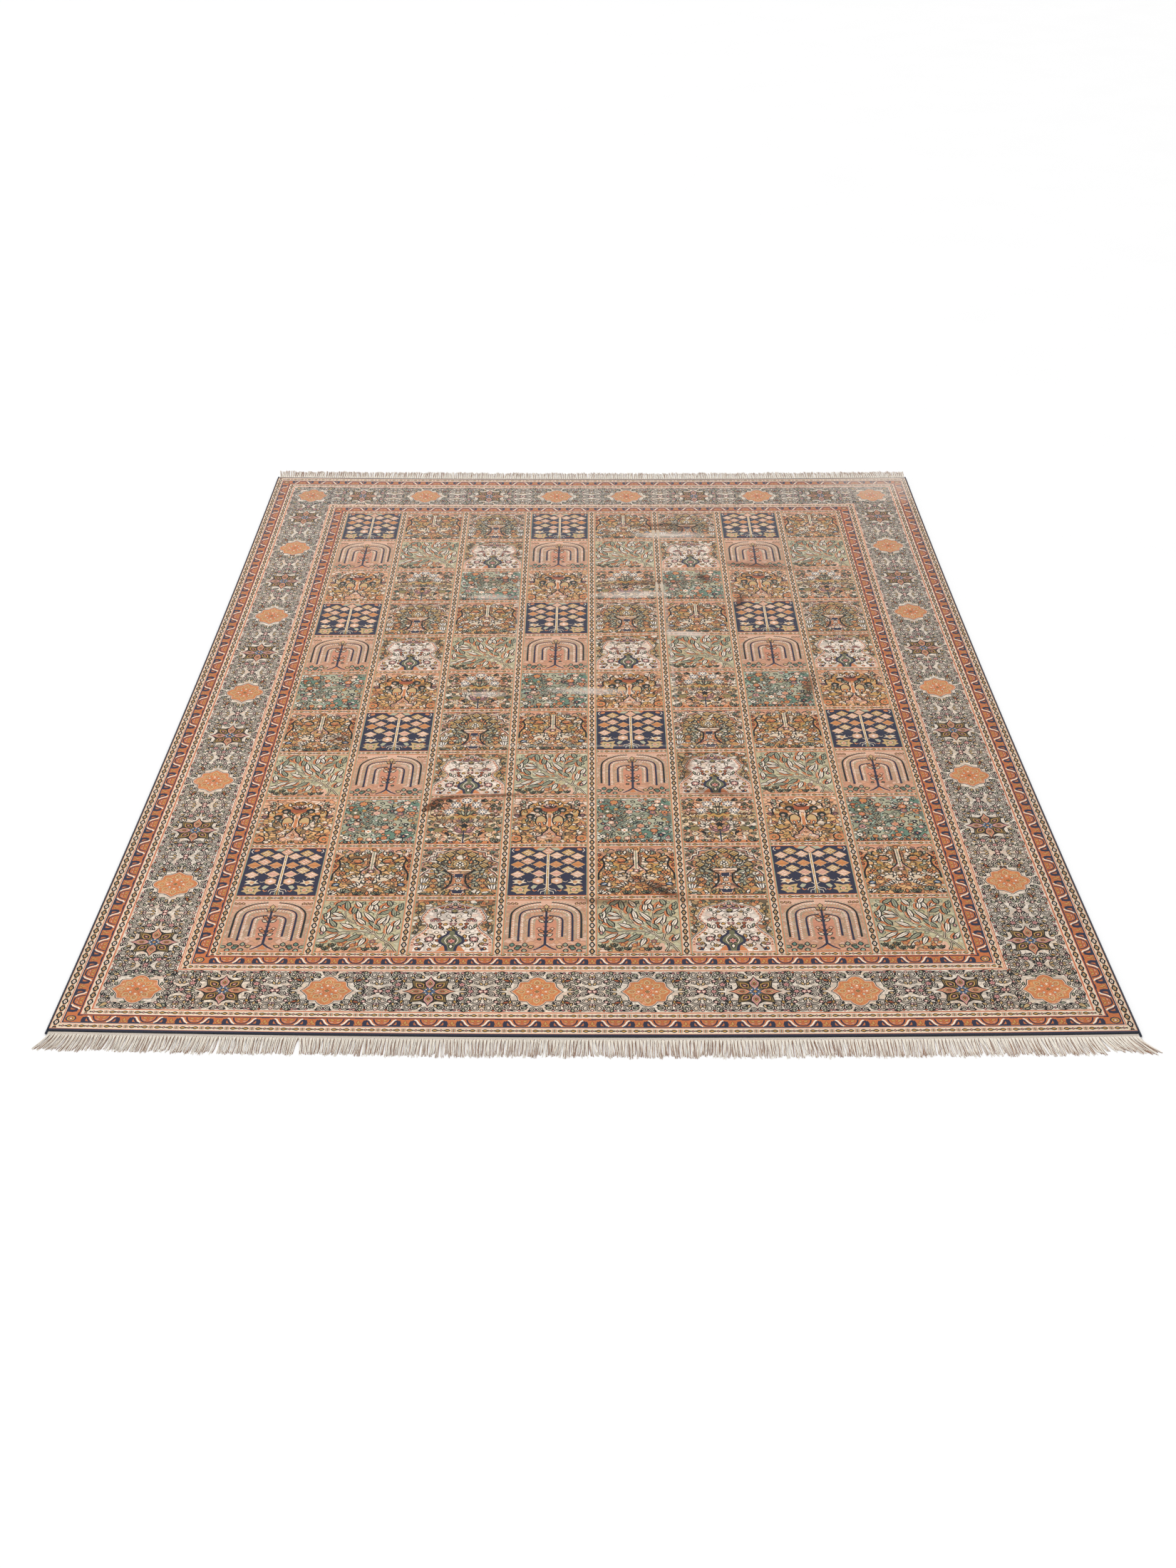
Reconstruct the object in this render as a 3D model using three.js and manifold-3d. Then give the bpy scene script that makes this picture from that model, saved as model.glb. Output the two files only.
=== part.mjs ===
// A hand-knotted silk garden rug lying flat on the floor: the knotted cloth, an overcast cord down each
// long side, and at each end a narrow flat-woven strip whose warps leave it as a fringe.
// Millimetres. +X runs across the rug, +Y towards its far end, +Z up.
// The origin is on the floor, under the middle of the rug.

import * as THREE from "three";
import { mergeVertices } from "three/addons/utils/BufferGeometryUtils.js";
import Module from "manifold-3d";

// Driving dimensions
const RUG_WIDTH = 1815; // over both side cords
const RUG_LENGTH = 2478.5; // knotted cloth, from end line to end line
const CLOTH_THICKNESS = 5; // foundation and clipped pile together
const CORD_DIAMETER = 4.7; // overcast selvedge
const CORD_OVERHANG = 8; // how far a side cord runs on past the knotted ends
const STRIP_DEPTH = 9.5; // flat-woven end strip, from the knots to the first stitch
const STRIP_THICKNESS = 2.6;
const PIECE_GAP = 0.3; // parting between neighbouring pieces

// The fringe is built as locks, each a bunch of about four of the warps that leave the strip.
const LOCKS_PER_END = 130;
const LOCK_ROOT_WIDTH = 9;
const LOCK_TIP_WIDTH = 5;
const LOCK_ROOT_HEIGHT = 2.3;
const LOCK_TIP_HEIGHT = 1.2;
const LOCK_TOP_SHARE = 0.55; // width of a lock's top face against its face on the floor
const LOCK_ROOTING = 2.5; // how far a lock reaches into its strip
const LOCK_BEND = 1.4; // above 1, a lock leaves its strip straight and swings towards its tip

// The tips wander a little to either side along the edge: swing in mm, over a wave of this length.
const TIP_WAVES = [
  { swing: 2.0, wave: 295, start: 0 },
  { swing: 1.2, wave: 120, start: 1 },
];

// One row for each end. lean is how far, in mm, the outermost tips swing outwards at each corner.
const FRINGES = [
  { name: "fringe_front", end: -1, length: 45, leanLeft: 15, leanRight: 30, ragged: 3 },
  { name: "fringe_back", end: 1, length: 48, leanLeft: 6, leanRight: 4, ragged: 5 },
];
const CORNER_LEAN_REACH = 90; // the swing dies away over this distance from a corner

// Where the front fringe is combed apart: place along the edge, swing of the tips, reach of the swing.
const PARTINGS = [
  { fringe: "fringe_front", x: -617, swing: 7, reach: 30 },
  { fringe: "fringe_front", x: -490, swing: 9, reach: 30 },
  { fringe: "fringe_front", x: 640, swing: 5, reach: 40 },
];

// How the weaving strays from a true rectangle. With u and v running from -1 to 1 across and along
// the rug, each row moves a point by mm * u^across * v^along.
const STRAY_ACROSS = [
  { across: 1, along: 0, mm: 5.2 },
  { across: 3, along: 0, mm: -13.7 },
  { across: 1, along: 1, mm: 7.1 },
  { across: 3, along: 1, mm: -19.4 },
  { across: 1, along: 2, mm: 9.4 },
];
const STRAY_ALONG = [
  { across: 0, along: 0, mm: -28.1 },
  { across: 0, along: 1, mm: 8.0 },
  { across: 0, along: 2, mm: 21.3 },
  { across: 0, along: 3, mm: -7.1 },
  { across: 1, along: 0, mm: 11.5 },
  { across: 1, along: 2, mm: -16.7 },
  { across: 2, along: 2, mm: 13.1 },
];

// Soft creases left by folding: centre, half length, half width, turn from the X axis, and height.
const CREASES = [
  { x: 170, y: 862, halfLength: 230, halfWidth: 55, turn: -2, height: 2.2 },
  { x: 135, y: 524, halfLength: 150, halfWidth: 50, turn: 0, height: 2.4 },
  { x: 245, y: 556, halfLength: 110, halfWidth: 50, turn: 32, height: 2.0 },
  { x: 160, y: 270, halfLength: 190, halfWidth: 60, turn: 0, height: 1.4 },
  { x: -240, y: -462, halfLength: 130, halfWidth: 50, turn: 4, height: 2.4 },
  { x: -330, y: -500, halfLength: 80, halfWidth: 45, turn: 66, height: 2.2 },
  { x: 120, y: -812, halfLength: 110, halfWidth: 55, turn: -38, height: 1.8 },
  { x: 318, y: 330, halfLength: 140, halfWidth: 50, turn: 88, height: 1.2 },
];

const CLOTH_STEPS_ACROSS = 40;
const CLOTH_STEPS_ALONG = 56;
const CORD_STEPS = 40;
const CORD_SIDES = 8;
const STRIP_STEPS = 40;

const clothHalfWidth = RUG_WIDTH / 2 - CORD_DIAMETER - PIECE_GAP;
const clothHalfLength = RUG_LENGTH / 2;
const stripHalfWidth = clothHalfWidth - PIECE_GAP;

const silk = new THREE.MeshStandardMaterial({ color: 0xb98f6c, roughness: 0.6, metalness: 0 });
const navyYarn = new THREE.MeshStandardMaterial({ color: 0x2b2f45, roughness: 0.8, metalness: 0 });
const paleWarp = new THREE.MeshStandardMaterial({ color: 0xe3d8c6, roughness: 0.85, metalness: 0 });

const wasm = await Module();
wasm.setup();

// Moves a point of the true rectangle to where the weaving really put it.
function asWoven(x, y) {
  const u = x / (RUG_WIDTH / 2);
  const v = y / (RUG_LENGTH / 2);
  const stray = (rows) => rows.reduce((sum, r) => sum + r.mm * u ** r.across * v ** r.along, 0);
  return [x + stray(STRAY_ACROSS), y + stray(STRAY_ALONG)];
}

// Height that the creases add at a point: each is a smooth long mound with no edge.
function creaseHeight(x, y) {
  let height = 0;
  for (const c of CREASES) {
    const turn = THREE.MathUtils.degToRad(c.turn);
    const along = (x - c.x) * Math.cos(turn) + (y - c.y) * Math.sin(turn);
    const across = (y - c.y) * Math.cos(turn) - (x - c.x) * Math.sin(turn);
    const spread = (along / c.halfLength) ** 2 + (across / c.halfWidth) ** 2;
    if (spread < 1) height += c.height * (1 - spread) ** 2;
  }
  return height;
}

// Uneven numbers from 0 to 1 that are the same each time, for lock lengths and leans.
function unevenness(seed) {
  const value = Math.sin(seed * 12.9898 + 4.1414) * 43758.5453;
  return value - Math.floor(value);
}

function bodyFrom(positions, triangles) {
  const geometry = new THREE.BufferGeometry();
  geometry.setAttribute("position", new THREE.Float32BufferAttribute(positions, 3));
  geometry.setIndex(triangles);
  geometry.computeVertexNormals();
  return geometry;
}

// Moves every point of a geometry, made on the true rectangle, to its woven place.
function layAsWoven(geometry) {
  const position = geometry.getAttribute("position");
  for (let i = 0; i < position.count; i += 1) {
    const [x, y] = asWoven(position.getX(i), position.getY(i));
    position.setXY(i, x, y);
  }
  geometry.computeVertexNormals();
  return geometry;
}

// The knotted cloth: a gridded pile side with its creases over one flat underside.
function knottedCloth() {
  const nx = CLOTH_STEPS_ACROSS;
  const ny = CLOTH_STEPS_ALONG;
  const positions = [];
  const triangles = [];
  for (let j = 0; j <= ny; j += 1) {
    for (let i = 0; i <= nx; i += 1) {
      const x = ((2 * i) / nx - 1) * clothHalfWidth;
      const y = ((2 * j) / ny - 1) * clothHalfLength;
      positions.push(x, y, CLOTH_THICKNESS + creaseHeight(x, y));
    }
  }
  const at = (i, j) => j * (nx + 1) + i;
  for (let j = 0; j < ny; j += 1) {
    for (let i = 0; i < nx; i += 1) {
      triangles.push(at(i, j), at(i + 1, j), at(i + 1, j + 1));
      triangles.push(at(i, j), at(i + 1, j + 1), at(i, j + 1));
    }
  }
  // The rim, anticlockwise from the front left corner
  const rim = [];
  for (let i = 0; i < nx; i += 1) rim.push(at(i, 0));
  for (let j = 0; j < ny; j += 1) rim.push(at(nx, j));
  for (let i = nx; i > 0; i -= 1) rim.push(at(i, ny));
  for (let j = ny; j > 0; j -= 1) rim.push(at(0, j));
  const floorStart = positions.length / 3;
  for (const k of rim) positions.push(positions[3 * k], positions[3 * k + 1], 0);
  rim.forEach((top, k) => {
    const next = (k + 1) % rim.length;
    triangles.push(top, floorStart + k, floorStart + next);
    triangles.push(top, floorStart + next, rim[next]);
  });
  const cloth = layAsWoven(bodyFrom(positions, triangles));
  const placed = cloth.getAttribute("position");
  const outline = rim.map((_, k) => {
    return new THREE.Vector2(placed.getX(floorStart + k), placed.getY(floorStart + k));
  });
  for (const [a, b, c] of THREE.ShapeUtils.triangulateShape(outline, [])) {
    triangles.push(floorStart + a, floorStart + c, floorStart + b);
  }
  cloth.setIndex(triangles);
  cloth.computeVertexNormals();
  return cloth;
}

// One overcast side cord, lying on the floor beside the cloth.
function sideCord(side) {
  const radius = CORD_DIAMETER / 2;
  const x = side * (RUG_WIDTH / 2 - radius);
  const points = [];
  for (let k = 0; k <= CORD_STEPS; k += 1) {
    const y = ((2 * k) / CORD_STEPS - 1) * (clothHalfLength + CORD_OVERHANG);
    const [wovenX, wovenY] = asWoven(x, y);
    points.push(new THREE.Vector3(wovenX, wovenY, radius));
  }
  const section = new THREE.Shape();
  const corner = radius / Math.cos(Math.PI / CORD_SIDES);
  for (let k = 0; k < CORD_SIDES; k += 1) {
    const angle = (2 * Math.PI * (k + 0.5)) / CORD_SIDES;
    section[k ? "lineTo" : "moveTo"](corner * Math.cos(angle), corner * Math.sin(angle));
  }
  return new THREE.ExtrudeGeometry(section, {
    steps: CORD_STEPS,
    extrudePath: new THREE.CatmullRomCurve3(points),
  });
}

// A closed bar through four-cornered sections, each a list of four [x, y, z] points.
function barThrough(sections) {
  const positions = sections.flat(2);
  const triangles = [0, 1, 2, 0, 2, 3];
  for (let s = 0; s + 1 < sections.length; s += 1) {
    for (let k = 0; k < 4; k += 1) {
      const a = 4 * s + k;
      const b = 4 * s + ((k + 1) % 4);
      triangles.push(a, a + 4, b + 4, a, b + 4, b);
    }
  }
  const last = 4 * (sections.length - 1);
  triangles.push(last, last + 2, last + 1, last, last + 3, last + 2);
  return bodyFrom(positions, triangles);
}

// How far the tip of a lock swings sideways, from its place along the edge.
function tipSwing(fringe, x) {
  let swing = fringe.leanRight * Math.exp(-(stripHalfWidth - x) / CORNER_LEAN_REACH);
  swing -= fringe.leanLeft * Math.exp(-(stripHalfWidth + x) / CORNER_LEAN_REACH);
  for (const w of TIP_WAVES) swing += w.swing * Math.sin((2 * Math.PI * x) / w.wave + w.start);
  for (const p of PARTINGS.filter((row) => row.fringe === fringe.name)) {
    swing += Math.sign(x - p.x) * p.swing * Math.exp(-Math.abs(x - p.x) / p.reach);
  }
  return swing;
}

// One lock: level on the floor along its whole length, narrowing to its tip.
function fringeLock(fringe, index) {
  const pitch = (2 * stripHalfWidth) / LOCKS_PER_END;
  const x = -stripHalfWidth + pitch * (index + 0.5);
  const rootY = clothHalfLength + PIECE_GAP + STRIP_DEPTH;
  const length = fringe.length + fringe.ragged * (2 * unevenness(index + 7 * fringe.end) - 1);
  const swing = tipSwing(fringe, x);
  const stations = [-LOCK_ROOTING / length, 0.5, 1];
  const sections = stations.map((s) => {
    const out = Math.max(s, 0);
    const half = THREE.MathUtils.lerp(LOCK_ROOT_WIDTH, LOCK_TIP_WIDTH, out) / 2;
    const high = THREE.MathUtils.lerp(LOCK_ROOT_HEIGHT, LOCK_TIP_HEIGHT, out);
    const middle = x + swing * out ** LOCK_BEND;
    const y = fringe.end * (rootY + s * length);
    const left = -half * fringe.end;
    return [
      [middle + left, y, 0],
      [middle - left, y, 0],
      [middle - left * LOCK_TOP_SHARE, y, high],
      [middle + left * LOCK_TOP_SHARE, y, high],
    ];
  });
  return barThrough(sections);
}

function solidFrom(geometry) {
  const bare = geometry.clone();
  bare.deleteAttribute("normal");
  bare.deleteAttribute("uv");
  const welded = mergeVertices(bare, 1e-4);
  return new wasm.Manifold(
    new wasm.Mesh({
      numProp: 3,
      vertProperties: new Float32Array(welded.getAttribute("position").array),
      triVerts: new Uint32Array(welded.getIndex().array),
    }),
  );
}

// The strip and its locks, fused into one body and laid along its uneven end.
function fringedStrip(fringe) {
  const strip = new THREE.BoxGeometry(2 * stripHalfWidth, STRIP_DEPTH, STRIP_THICKNESS, STRIP_STEPS, 1, 1);
  const stripMiddle = clothHalfLength + PIECE_GAP + STRIP_DEPTH / 2;
  strip.translate(0, fringe.end * stripMiddle, STRIP_THICKNESS / 2);
  let solid = solidFrom(strip);
  for (let index = 0; index < LOCKS_PER_END; index += 1) {
    solid = solid.add(solidFrom(fringeLock(fringe, index)));
  }
  const mesh = solid.getMesh();
  return layAsWoven(bodyFrom(Array.from(mesh.vertProperties), Array.from(mesh.triVerts)));
}

function namedPiece(name, geometry, material) {
  const piece = new THREE.Mesh(geometry, material);
  piece.name = name;
  return piece;
}

const rug = new THREE.Group();
rug.add(namedPiece("knotted_cloth", knottedCloth(), silk));
rug.add(namedPiece("side_cord_left", sideCord(-1), navyYarn));
rug.add(namedPiece("side_cord_right", sideCord(1), navyYarn));
for (const fringe of FRINGES) rug.add(namedPiece(fringe.name, fringedStrip(fringe), paleWarp));

export default rug;
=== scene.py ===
# %% [markdown]
# # A knotted silk garden rug
#
# The rug lies flat on the floor. Its field is a chart of small garden panels, parted by chains of beads
# and framed by nested borders. The pile is clipped silk, each long side has an overcast navy cord, and
# each end has a narrow flat-woven strip whose warps are left loose as a fringe.
#
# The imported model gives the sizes. Everything here is made around it, in metres, in the same frame.

import math

import bpy
import numpy as np
from mathutils import Matrix, Vector
from mathutils.bvhtree import BVHTree
from mathutils.geometry import delaunay_2d_cdt


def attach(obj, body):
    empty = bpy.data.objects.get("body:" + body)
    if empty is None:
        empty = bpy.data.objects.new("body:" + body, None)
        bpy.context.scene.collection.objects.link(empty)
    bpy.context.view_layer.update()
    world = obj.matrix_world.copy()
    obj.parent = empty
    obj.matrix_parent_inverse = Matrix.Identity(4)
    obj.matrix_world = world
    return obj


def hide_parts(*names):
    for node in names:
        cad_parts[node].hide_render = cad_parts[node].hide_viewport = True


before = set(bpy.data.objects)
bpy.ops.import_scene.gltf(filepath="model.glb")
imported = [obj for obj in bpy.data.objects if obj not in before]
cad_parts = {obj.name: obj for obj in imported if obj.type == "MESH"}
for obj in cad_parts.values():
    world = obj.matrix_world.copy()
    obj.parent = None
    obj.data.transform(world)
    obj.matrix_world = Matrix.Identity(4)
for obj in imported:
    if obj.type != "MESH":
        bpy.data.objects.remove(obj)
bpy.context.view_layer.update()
MM = 0.001

# %% [markdown]
# ## The camera
#
# The picture is taken by someone standing in front of the near end, looking down at the rug. The place,
# the pitch and the lens were fitted by least squares to the corners of the rug and to the crossings of
# its panel grid. The lens is a little long, so the far end narrows gently.

# %% Camera
CAMERA_PLACE = (0.0003, -3.6172, 1.9386)
CAMERA_PITCH_DOWN = 31.289
CAMERA_TURN = -0.15
CAMERA_ROLL = -0.164
CAMERA_LENS_MM = 41.563
SENSOR_WIDTH_MM = 36.0

camera = bpy.data.objects.new("camera", bpy.data.cameras.new("camera"))
bpy.context.scene.collection.objects.link(camera)
camera.data.lens = CAMERA_LENS_MM
camera.data.sensor_width = SENSOR_WIDTH_MM
camera.location = CAMERA_PLACE
look = Matrix.Rotation(math.radians(-CAMERA_TURN), 4, "Z")
look @= Matrix.Rotation(math.radians(90 - CAMERA_PITCH_DOWN), 4, "X")
look @= Matrix.Rotation(math.radians(CAMERA_ROLL), 4, "Z")
camera.rotation_euler = look.to_euler()
bpy.context.scene.camera = camera
print("camera", round(CAMERA_PLACE[2], 2), "m up, lens", CAMERA_LENS_MM, "mm")

# %% [markdown]
# ## Real sizes, and how unevenly it is woven
#
# A hand-knotted rug is never a true rectangle: the weaver's tension changes, so its edges bow and its
# rows drift. The pattern is first drawn on a true rectangle, in millimetres, and then every point is
# moved by one smooth function to where the weaving put it. The same function shaped the solids, so the
# pile meets its cords and strips everywhere.

# %% Sizes and unevenness
RUG_WIDTH = 1815.0  # over both side cords
RUG_LENGTH = 2478.5  # the knotted cloth, from end line to end line
CLOTH_THICKNESS = 5.0
CORD_DIAMETER = 4.7
PIECE_GAP = 0.3
CORD_OVERHANG = 8.0
STRIP_DEPTH = 9.5
STRIP_THICKNESS = 2.6
COLUMNS, ROWS = 8, 11
COLUMN_PITCH, ROW_PITCH = 168.0, 182.5  # of the panels, middle of divider to middle of divider

FIELD_X = COLUMNS * COLUMN_PITCH / 2
FIELD_Y = ROWS * ROW_PITCH / 2
CLOTH_X = RUG_WIDTH / 2 - CORD_DIAMETER - PIECE_GAP
CLOTH_Y = RUG_LENGTH / 2

# Each row moves a point by mm * u^across * v^along, u and v running from -1 to 1 over the rug.
STRAY_ACROSS = ((1, 0, 5.2), (3, 0, -13.7), (1, 1, 7.1), (3, 1, -19.4), (1, 2, 9.4))
STRAY_ALONG = ((0, 0, -28.1), (0, 1, 8.0), (0, 2, 21.3), (0, 3, -7.1),
               (1, 0, 11.5), (1, 2, -16.7), (2, 2, 13.1))

# Low mounds left by folding, in mm: centre x and y, half length, half width, turn in degrees, height.
CREASES = ((170, 862, 230, 55, -2, 2.2), (135, 524, 150, 50, 0, 2.4), (245, 556, 110, 50, 32, 2.0),
           (160, 270, 190, 60, 0, 1.4), (-240, -462, 130, 50, 4, 2.4), (-330, -500, 80, 45, 66, 2.2),
           (120, -812, 110, 55, -38, 1.8), (318, 330, 140, 50, 88, 1.2))


def as_woven(x, y):
    """Where a point of the true rectangle really lies. x and y are numbers or arrays, in mm."""
    u, v = x / (RUG_WIDTH / 2), y / (RUG_LENGTH / 2)
    stray_x = sum(mm * u**across * v**along for across, along, mm in STRAY_ACROSS)
    stray_y = sum(mm * u**across * v**along for across, along, mm in STRAY_ALONG)
    return x + stray_x, y + stray_y


def mounds(x, y, table):
    """Sum of smooth long mounds, one for each row of a table like CREASES."""
    total = np.zeros_like(x)
    for cx, cy, half_length, half_width, turn, height in table:
        c, s = math.cos(math.radians(turn)), math.sin(math.radians(turn))
        along, across = (x - cx) * c + (y - cy) * s, (y - cy) * c - (x - cx) * s
        spread = (along / half_length) ** 2 + (across / half_width) ** 2
        total += height * np.clip(1 - spread, 0, None) ** 2
    return total


corner_x, corner_y = as_woven(RUG_WIDTH / 2, RUG_LENGTH / 2)
print("far right corner lies at", round(corner_x), round(corner_y), "mm")

# %% [markdown]
# ## The yarns
#
# A silk rug of this kind is knotted from a few dozen dyed yarns. They are named once here, as the
# colours one sees, and every motif asks for a yarn by name. Ivory, peach and rust carry the borders,
# navy and dark slate draw the outlines, and sage, teal, gold and pink fill the gardens.
#
# The last nine names are grounds that are full of small buds and leaves. Their colour is the one
# between those figures, which the silk finish draws later. Rose and apricot get faint figures too.

# %% Yarn colours
YARNS = {
    "ivory": "EFDFCB", "cream": "DFC8AC", "blush": "DDB096", "peach": "D0977A", "salmon": "CB8A6D",
    "rose": "CF9A7C", "orange": "CB8050", "apricot": "D4935A", "coral": "C4673E", "rust": "A05433",
    "brown": "6B4230", "umber": "2F1D15", "amber": "BE6D3E", "gold": "BC9150", "straw": "C6A574",
    "olive": "8C7A4E", "sage": "9B9C82", "pale_sage": "B2AE93", "moss": "6C6B50", "teal": "93A48F",
    "deep_teal": "64806E", "pink": "C78F86", "mauve": "96686A", "blue": "4C6480", "navy": "2A2B40",
    "slate": "232624", "ink": "151212", "white": "EEE2D4", "bronze": "75603A",
    "lawn": "C6BD99", "thicket": "BA9A6F", "meadow": "A2AF9B", "stubble": "E2AE76", "honey": "D2934E",
    "dawn": "E4AF8A", "parchment": "E8CAA6", "snow": "E2D3C1", "frost": "F3E2D2",
}
# Grounds that the finish fills with small figures, and how strongly.
FIGURED = {"lawn": 0.3, "thicket": 0.85, "meadow": 0.7, "stubble": 0.8, "honey": 0.75, "dawn": 0.6,
           "parchment": 0.8, "snow": 0.3, "frost": 0.4, "rose": 0.25, "apricot": 0.25}


def linear(hex_colour):
    """A colour as seen on screen, turned into the linear light that Blender works in."""
    parts = [int(hex_colour[i:i + 2], 16) / 255 for i in (0, 2, 4)]
    return [c / 12.92 if c <= 0.04045 else ((c + 0.055) / 1.055) ** 2.4 for c in parts]


YARNS["beads along"] = YARNS["beads across"] = YARNS["cream"]  # bands whose beads the finish draws
YARN_NAMES = list(YARNS)
YARN_LIGHT = np.array([linear(YARNS[name]) + [1.0] for name in YARN_NAMES], dtype=np.float32)
print(len(YARNS) - len(FIGURED), "yarns are plain and", len(FIGURED), "carry figures")

# %% [markdown]
# ## A card to draw on
#
# Weavers copy a card on which every motif is drawn flat. A card here is an ordered list of flat
# shapes, in millimetres, and a later shape covers an earlier one. `at` gives the same card from a new
# origin, turned, scaled or mirrored, so a motif is drawn once around its own root and used anywhere.
# A line is a row of four-cornered pieces, because a long ribbon could cross itself and a short one
# cannot.

# %% The card
class Card:
    """Ordered flat shapes in millimetres. A later shape covers an earlier one."""

    def __init__(self, shapes=None, place=(1.0, 0.0, 0.0, 0.0, 1.0, 0.0)):
        self.shapes = [] if shapes is None else shapes
        self.place = place

    def at(self, x=0.0, y=0.0, turn=0.0, size=1.0, flip=False):
        """The same card seen from a new origin: turned in degrees, scaled, mirrored across X."""
        ax, bx, cx, ay, by, cy = self.place
        c, s = size * math.cos(math.radians(turn)), size * math.sin(math.radians(turn))
        mirror = -1.0 if flip else 1.0
        px, qx, py, qy = c * mirror, -s, s * mirror, c
        return Card(self.shapes, (ax * px + bx * py, ax * qx + bx * qy, ax * x + bx * y + cx,
                                  ay * px + by * py, ay * qx + by * qy, ay * x + by * y + cy))

    def both(self):
        """The card and its mirror image, for motifs that come in pairs."""
        return self, self.at(flip=True)

    def area(self, points, yarn):
        ax, bx, cx, ay, by, cy = self.place
        self.shapes.append(([(ax * x + bx * y + cx, ay * x + by * y + cy) for x, y in points], yarn))

    def line(self, points, width, yarn, tip=1.0):
        """A line through points. tip is its end's width against its start's."""
        last = len(points) - 1
        sides = []
        for i, (x, y) in enumerate(points):
            (ax, ay), (bx, by) = points[max(i - 1, 0)], points[min(i + 1, last)]
            length = math.hypot(bx - ax, by - ay) or 1.0
            half = 0.5 * width * (1 + (tip - 1) * i / last)
            nx, ny = -(by - ay) / length * half, (bx - ax) / length * half
            sides.append(((x + nx, y + ny), (x - nx, y - ny)))
        for (a, b), (c, d) in zip(sides, sides[1:]):
            self.area((a, b, d, c), yarn)


def curved(points, steps=2):
    """A smooth line through a few points, as more points."""
    ends = [points[0], *points, points[-1]]
    line = []
    for (ax, ay), (bx, by), (cx, cy), (dx, dy) in zip(ends, ends[1:], ends[2:], ends[3:]):
        for k in range(steps):
            t = k / steps
            w = (-0.5 * t + t * t - 0.5 * t**3, 1 - 2.5 * t * t + 1.5 * t**3,
                 0.5 * t + 2 * t * t - 1.5 * t**3, -0.5 * t * t + 0.5 * t**3)
            line.append((w[0] * ax + w[1] * bx + w[2] * cx + w[3] * dx,
                         w[0] * ay + w[1] * by + w[2] * cy + w[3] * dy))
    return line + [points[-1]]


COIL_END = 0.3  # the radius where a scroll ends, against the one it starts with


def coil(radius, sweep, steps):
    """A scroll that leaves the origin along +X and rolls up to the left, as points."""
    points = []
    for k in range(steps + 1):
        t = k / steps
        angle = math.radians(sweep * t - 90)
        r = radius * (1 + (COIL_END - 1) * t)
        points.append((r * math.cos(angle), radius + r * math.sin(angle)))
    return points


def box_points(x0, y0, x1, y1):
    return [(x0, y0), (x1, y0), (x1, y1), (x0, y1)]


trial = Card()
trial.line(curved([(0, 0), (10, 4), (20, 0)]), 2.0, "ink")
print("a curved line through three points takes", len(trial.shapes), "shapes")


# %% [markdown]
# ## Small motifs
#
# The garden is made of a few small things, used hundreds of times: a pointed leaf, a blossom with
# notched petals, a bead, a lozenge, and a hook that curls. Most are a dark shape with a smaller bright
# one on it, which leaves a dark outline one or two knots wide. A ground cover scatters such leaves, buds
# and curls in staggered rows, turned by a rule and not by chance, so that every run gives the same.

# %% Leaf, blossom, bead, lozenge, hook, ground cover
RIM = 1.9  # nearly two knots: the width of an outline
LEAF_EDGE = ((0, 0), (0.3, 0.5), (0.66, 0.42), (1, 0), (0.66, -0.42), (0.3, -0.5))
LEAF_FILL = ((0.04, 0), (0.46, 0.5), (0.96, 0), (0.46, -0.5))
LONG_LEAF = 16  # above this length, in mm, a leaf gets all six corners


def leaf(card, length, width, fill, edge="slate", rim=RIM, vein=None):
    """A pointed leaf that grows along +X from the origin."""
    card.area([(x * (length + 2 * rim) - rim, y * (width + 2 * rim)) for x, y in LEAF_EDGE], edge)
    card.area([(x * length, y * width) for x, y in (LEAF_EDGE if length > LONG_LEAF else LEAF_FILL)], fill)
    if vein:
        card.area(((0.1 * length, 0.5), (0.85 * length, 0), (0.1 * length, -0.5)), vein)


def ring(radius, petals, dip=None):
    """Points round a circle. With a dip, the points between the petals lie that much further in."""
    count = petals if dip is None else 2 * petals
    turns = [math.radians(90.0 + 360 * k / count) for k in range(count)]
    return [((radius * dip if dip and k % 2 else radius) * math.cos(a),
             (radius * dip if dip and k % 2 else radius) * math.sin(a)) for k, a in enumerate(turns)]


def blossom(card, radius, fill, edge="slate", heart="gold", petals=6, dip=0.52, rim=RIM):
    """Petals on a dark round, so that the gaps between them read as outlines."""
    petals = min(petals, 4 if radius < 4 else 5 if radius < 7.5 else 8)
    card.area(ring(radius, petals), edge)
    card.area(ring(radius - 0.5 * rim, petals, dip), fill)
    if heart and radius > 4:
        card.area(ring(0.34 * radius, 4), heart)


def bead(card, half_x, half_y, fill, edge="ink"):
    """A six-sided bead with a dark outline and a bright lozenge in it."""
    tall = half_y > half_x
    long_half, short_half = max(half_x, half_y), min(half_x, half_y)
    outer = ((long_half, 0), (0.42 * long_half, short_half), (-0.42 * long_half, short_half),
             (-long_half, 0), (-0.42 * long_half, -short_half), (0.42 * long_half, -short_half))
    a, b = long_half - 1.1 * RIM, short_half - RIM
    inner = ((a, 0), (0, 1.15 * b), (-a, 0), (0, -1.15 * b))
    for points, yarn in ((outer, edge), (inner, fill)):
        card.area([(y, x) for x, y in points] if tall else points, yarn)


def lozenge(card, half_x, half_y, fill, edge=None, rim=RIM):
    if edge:
        card.area([(half_x + rim, 0), (0, half_y + rim), (-half_x - rim, 0), (0, -half_y - rim)], edge)
    card.area([(half_x, 0), (0, half_y), (-half_x, 0), (0, -half_y)], fill)


def hook(card, radius, yarn, width=1.8, sweep=230, bud=None):
    """A curled line that ends in a bud."""
    points = coil(radius, sweep, 3 if radius < 4 else 4)
    card.line(points, width, yarn, tip=0.7)
    if bud:
        x, y = points[-1]
        lozenge(card.at(x, y), 0.4 * radius, 0.4 * radius, bud, yarn, rim=1.0)


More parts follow.
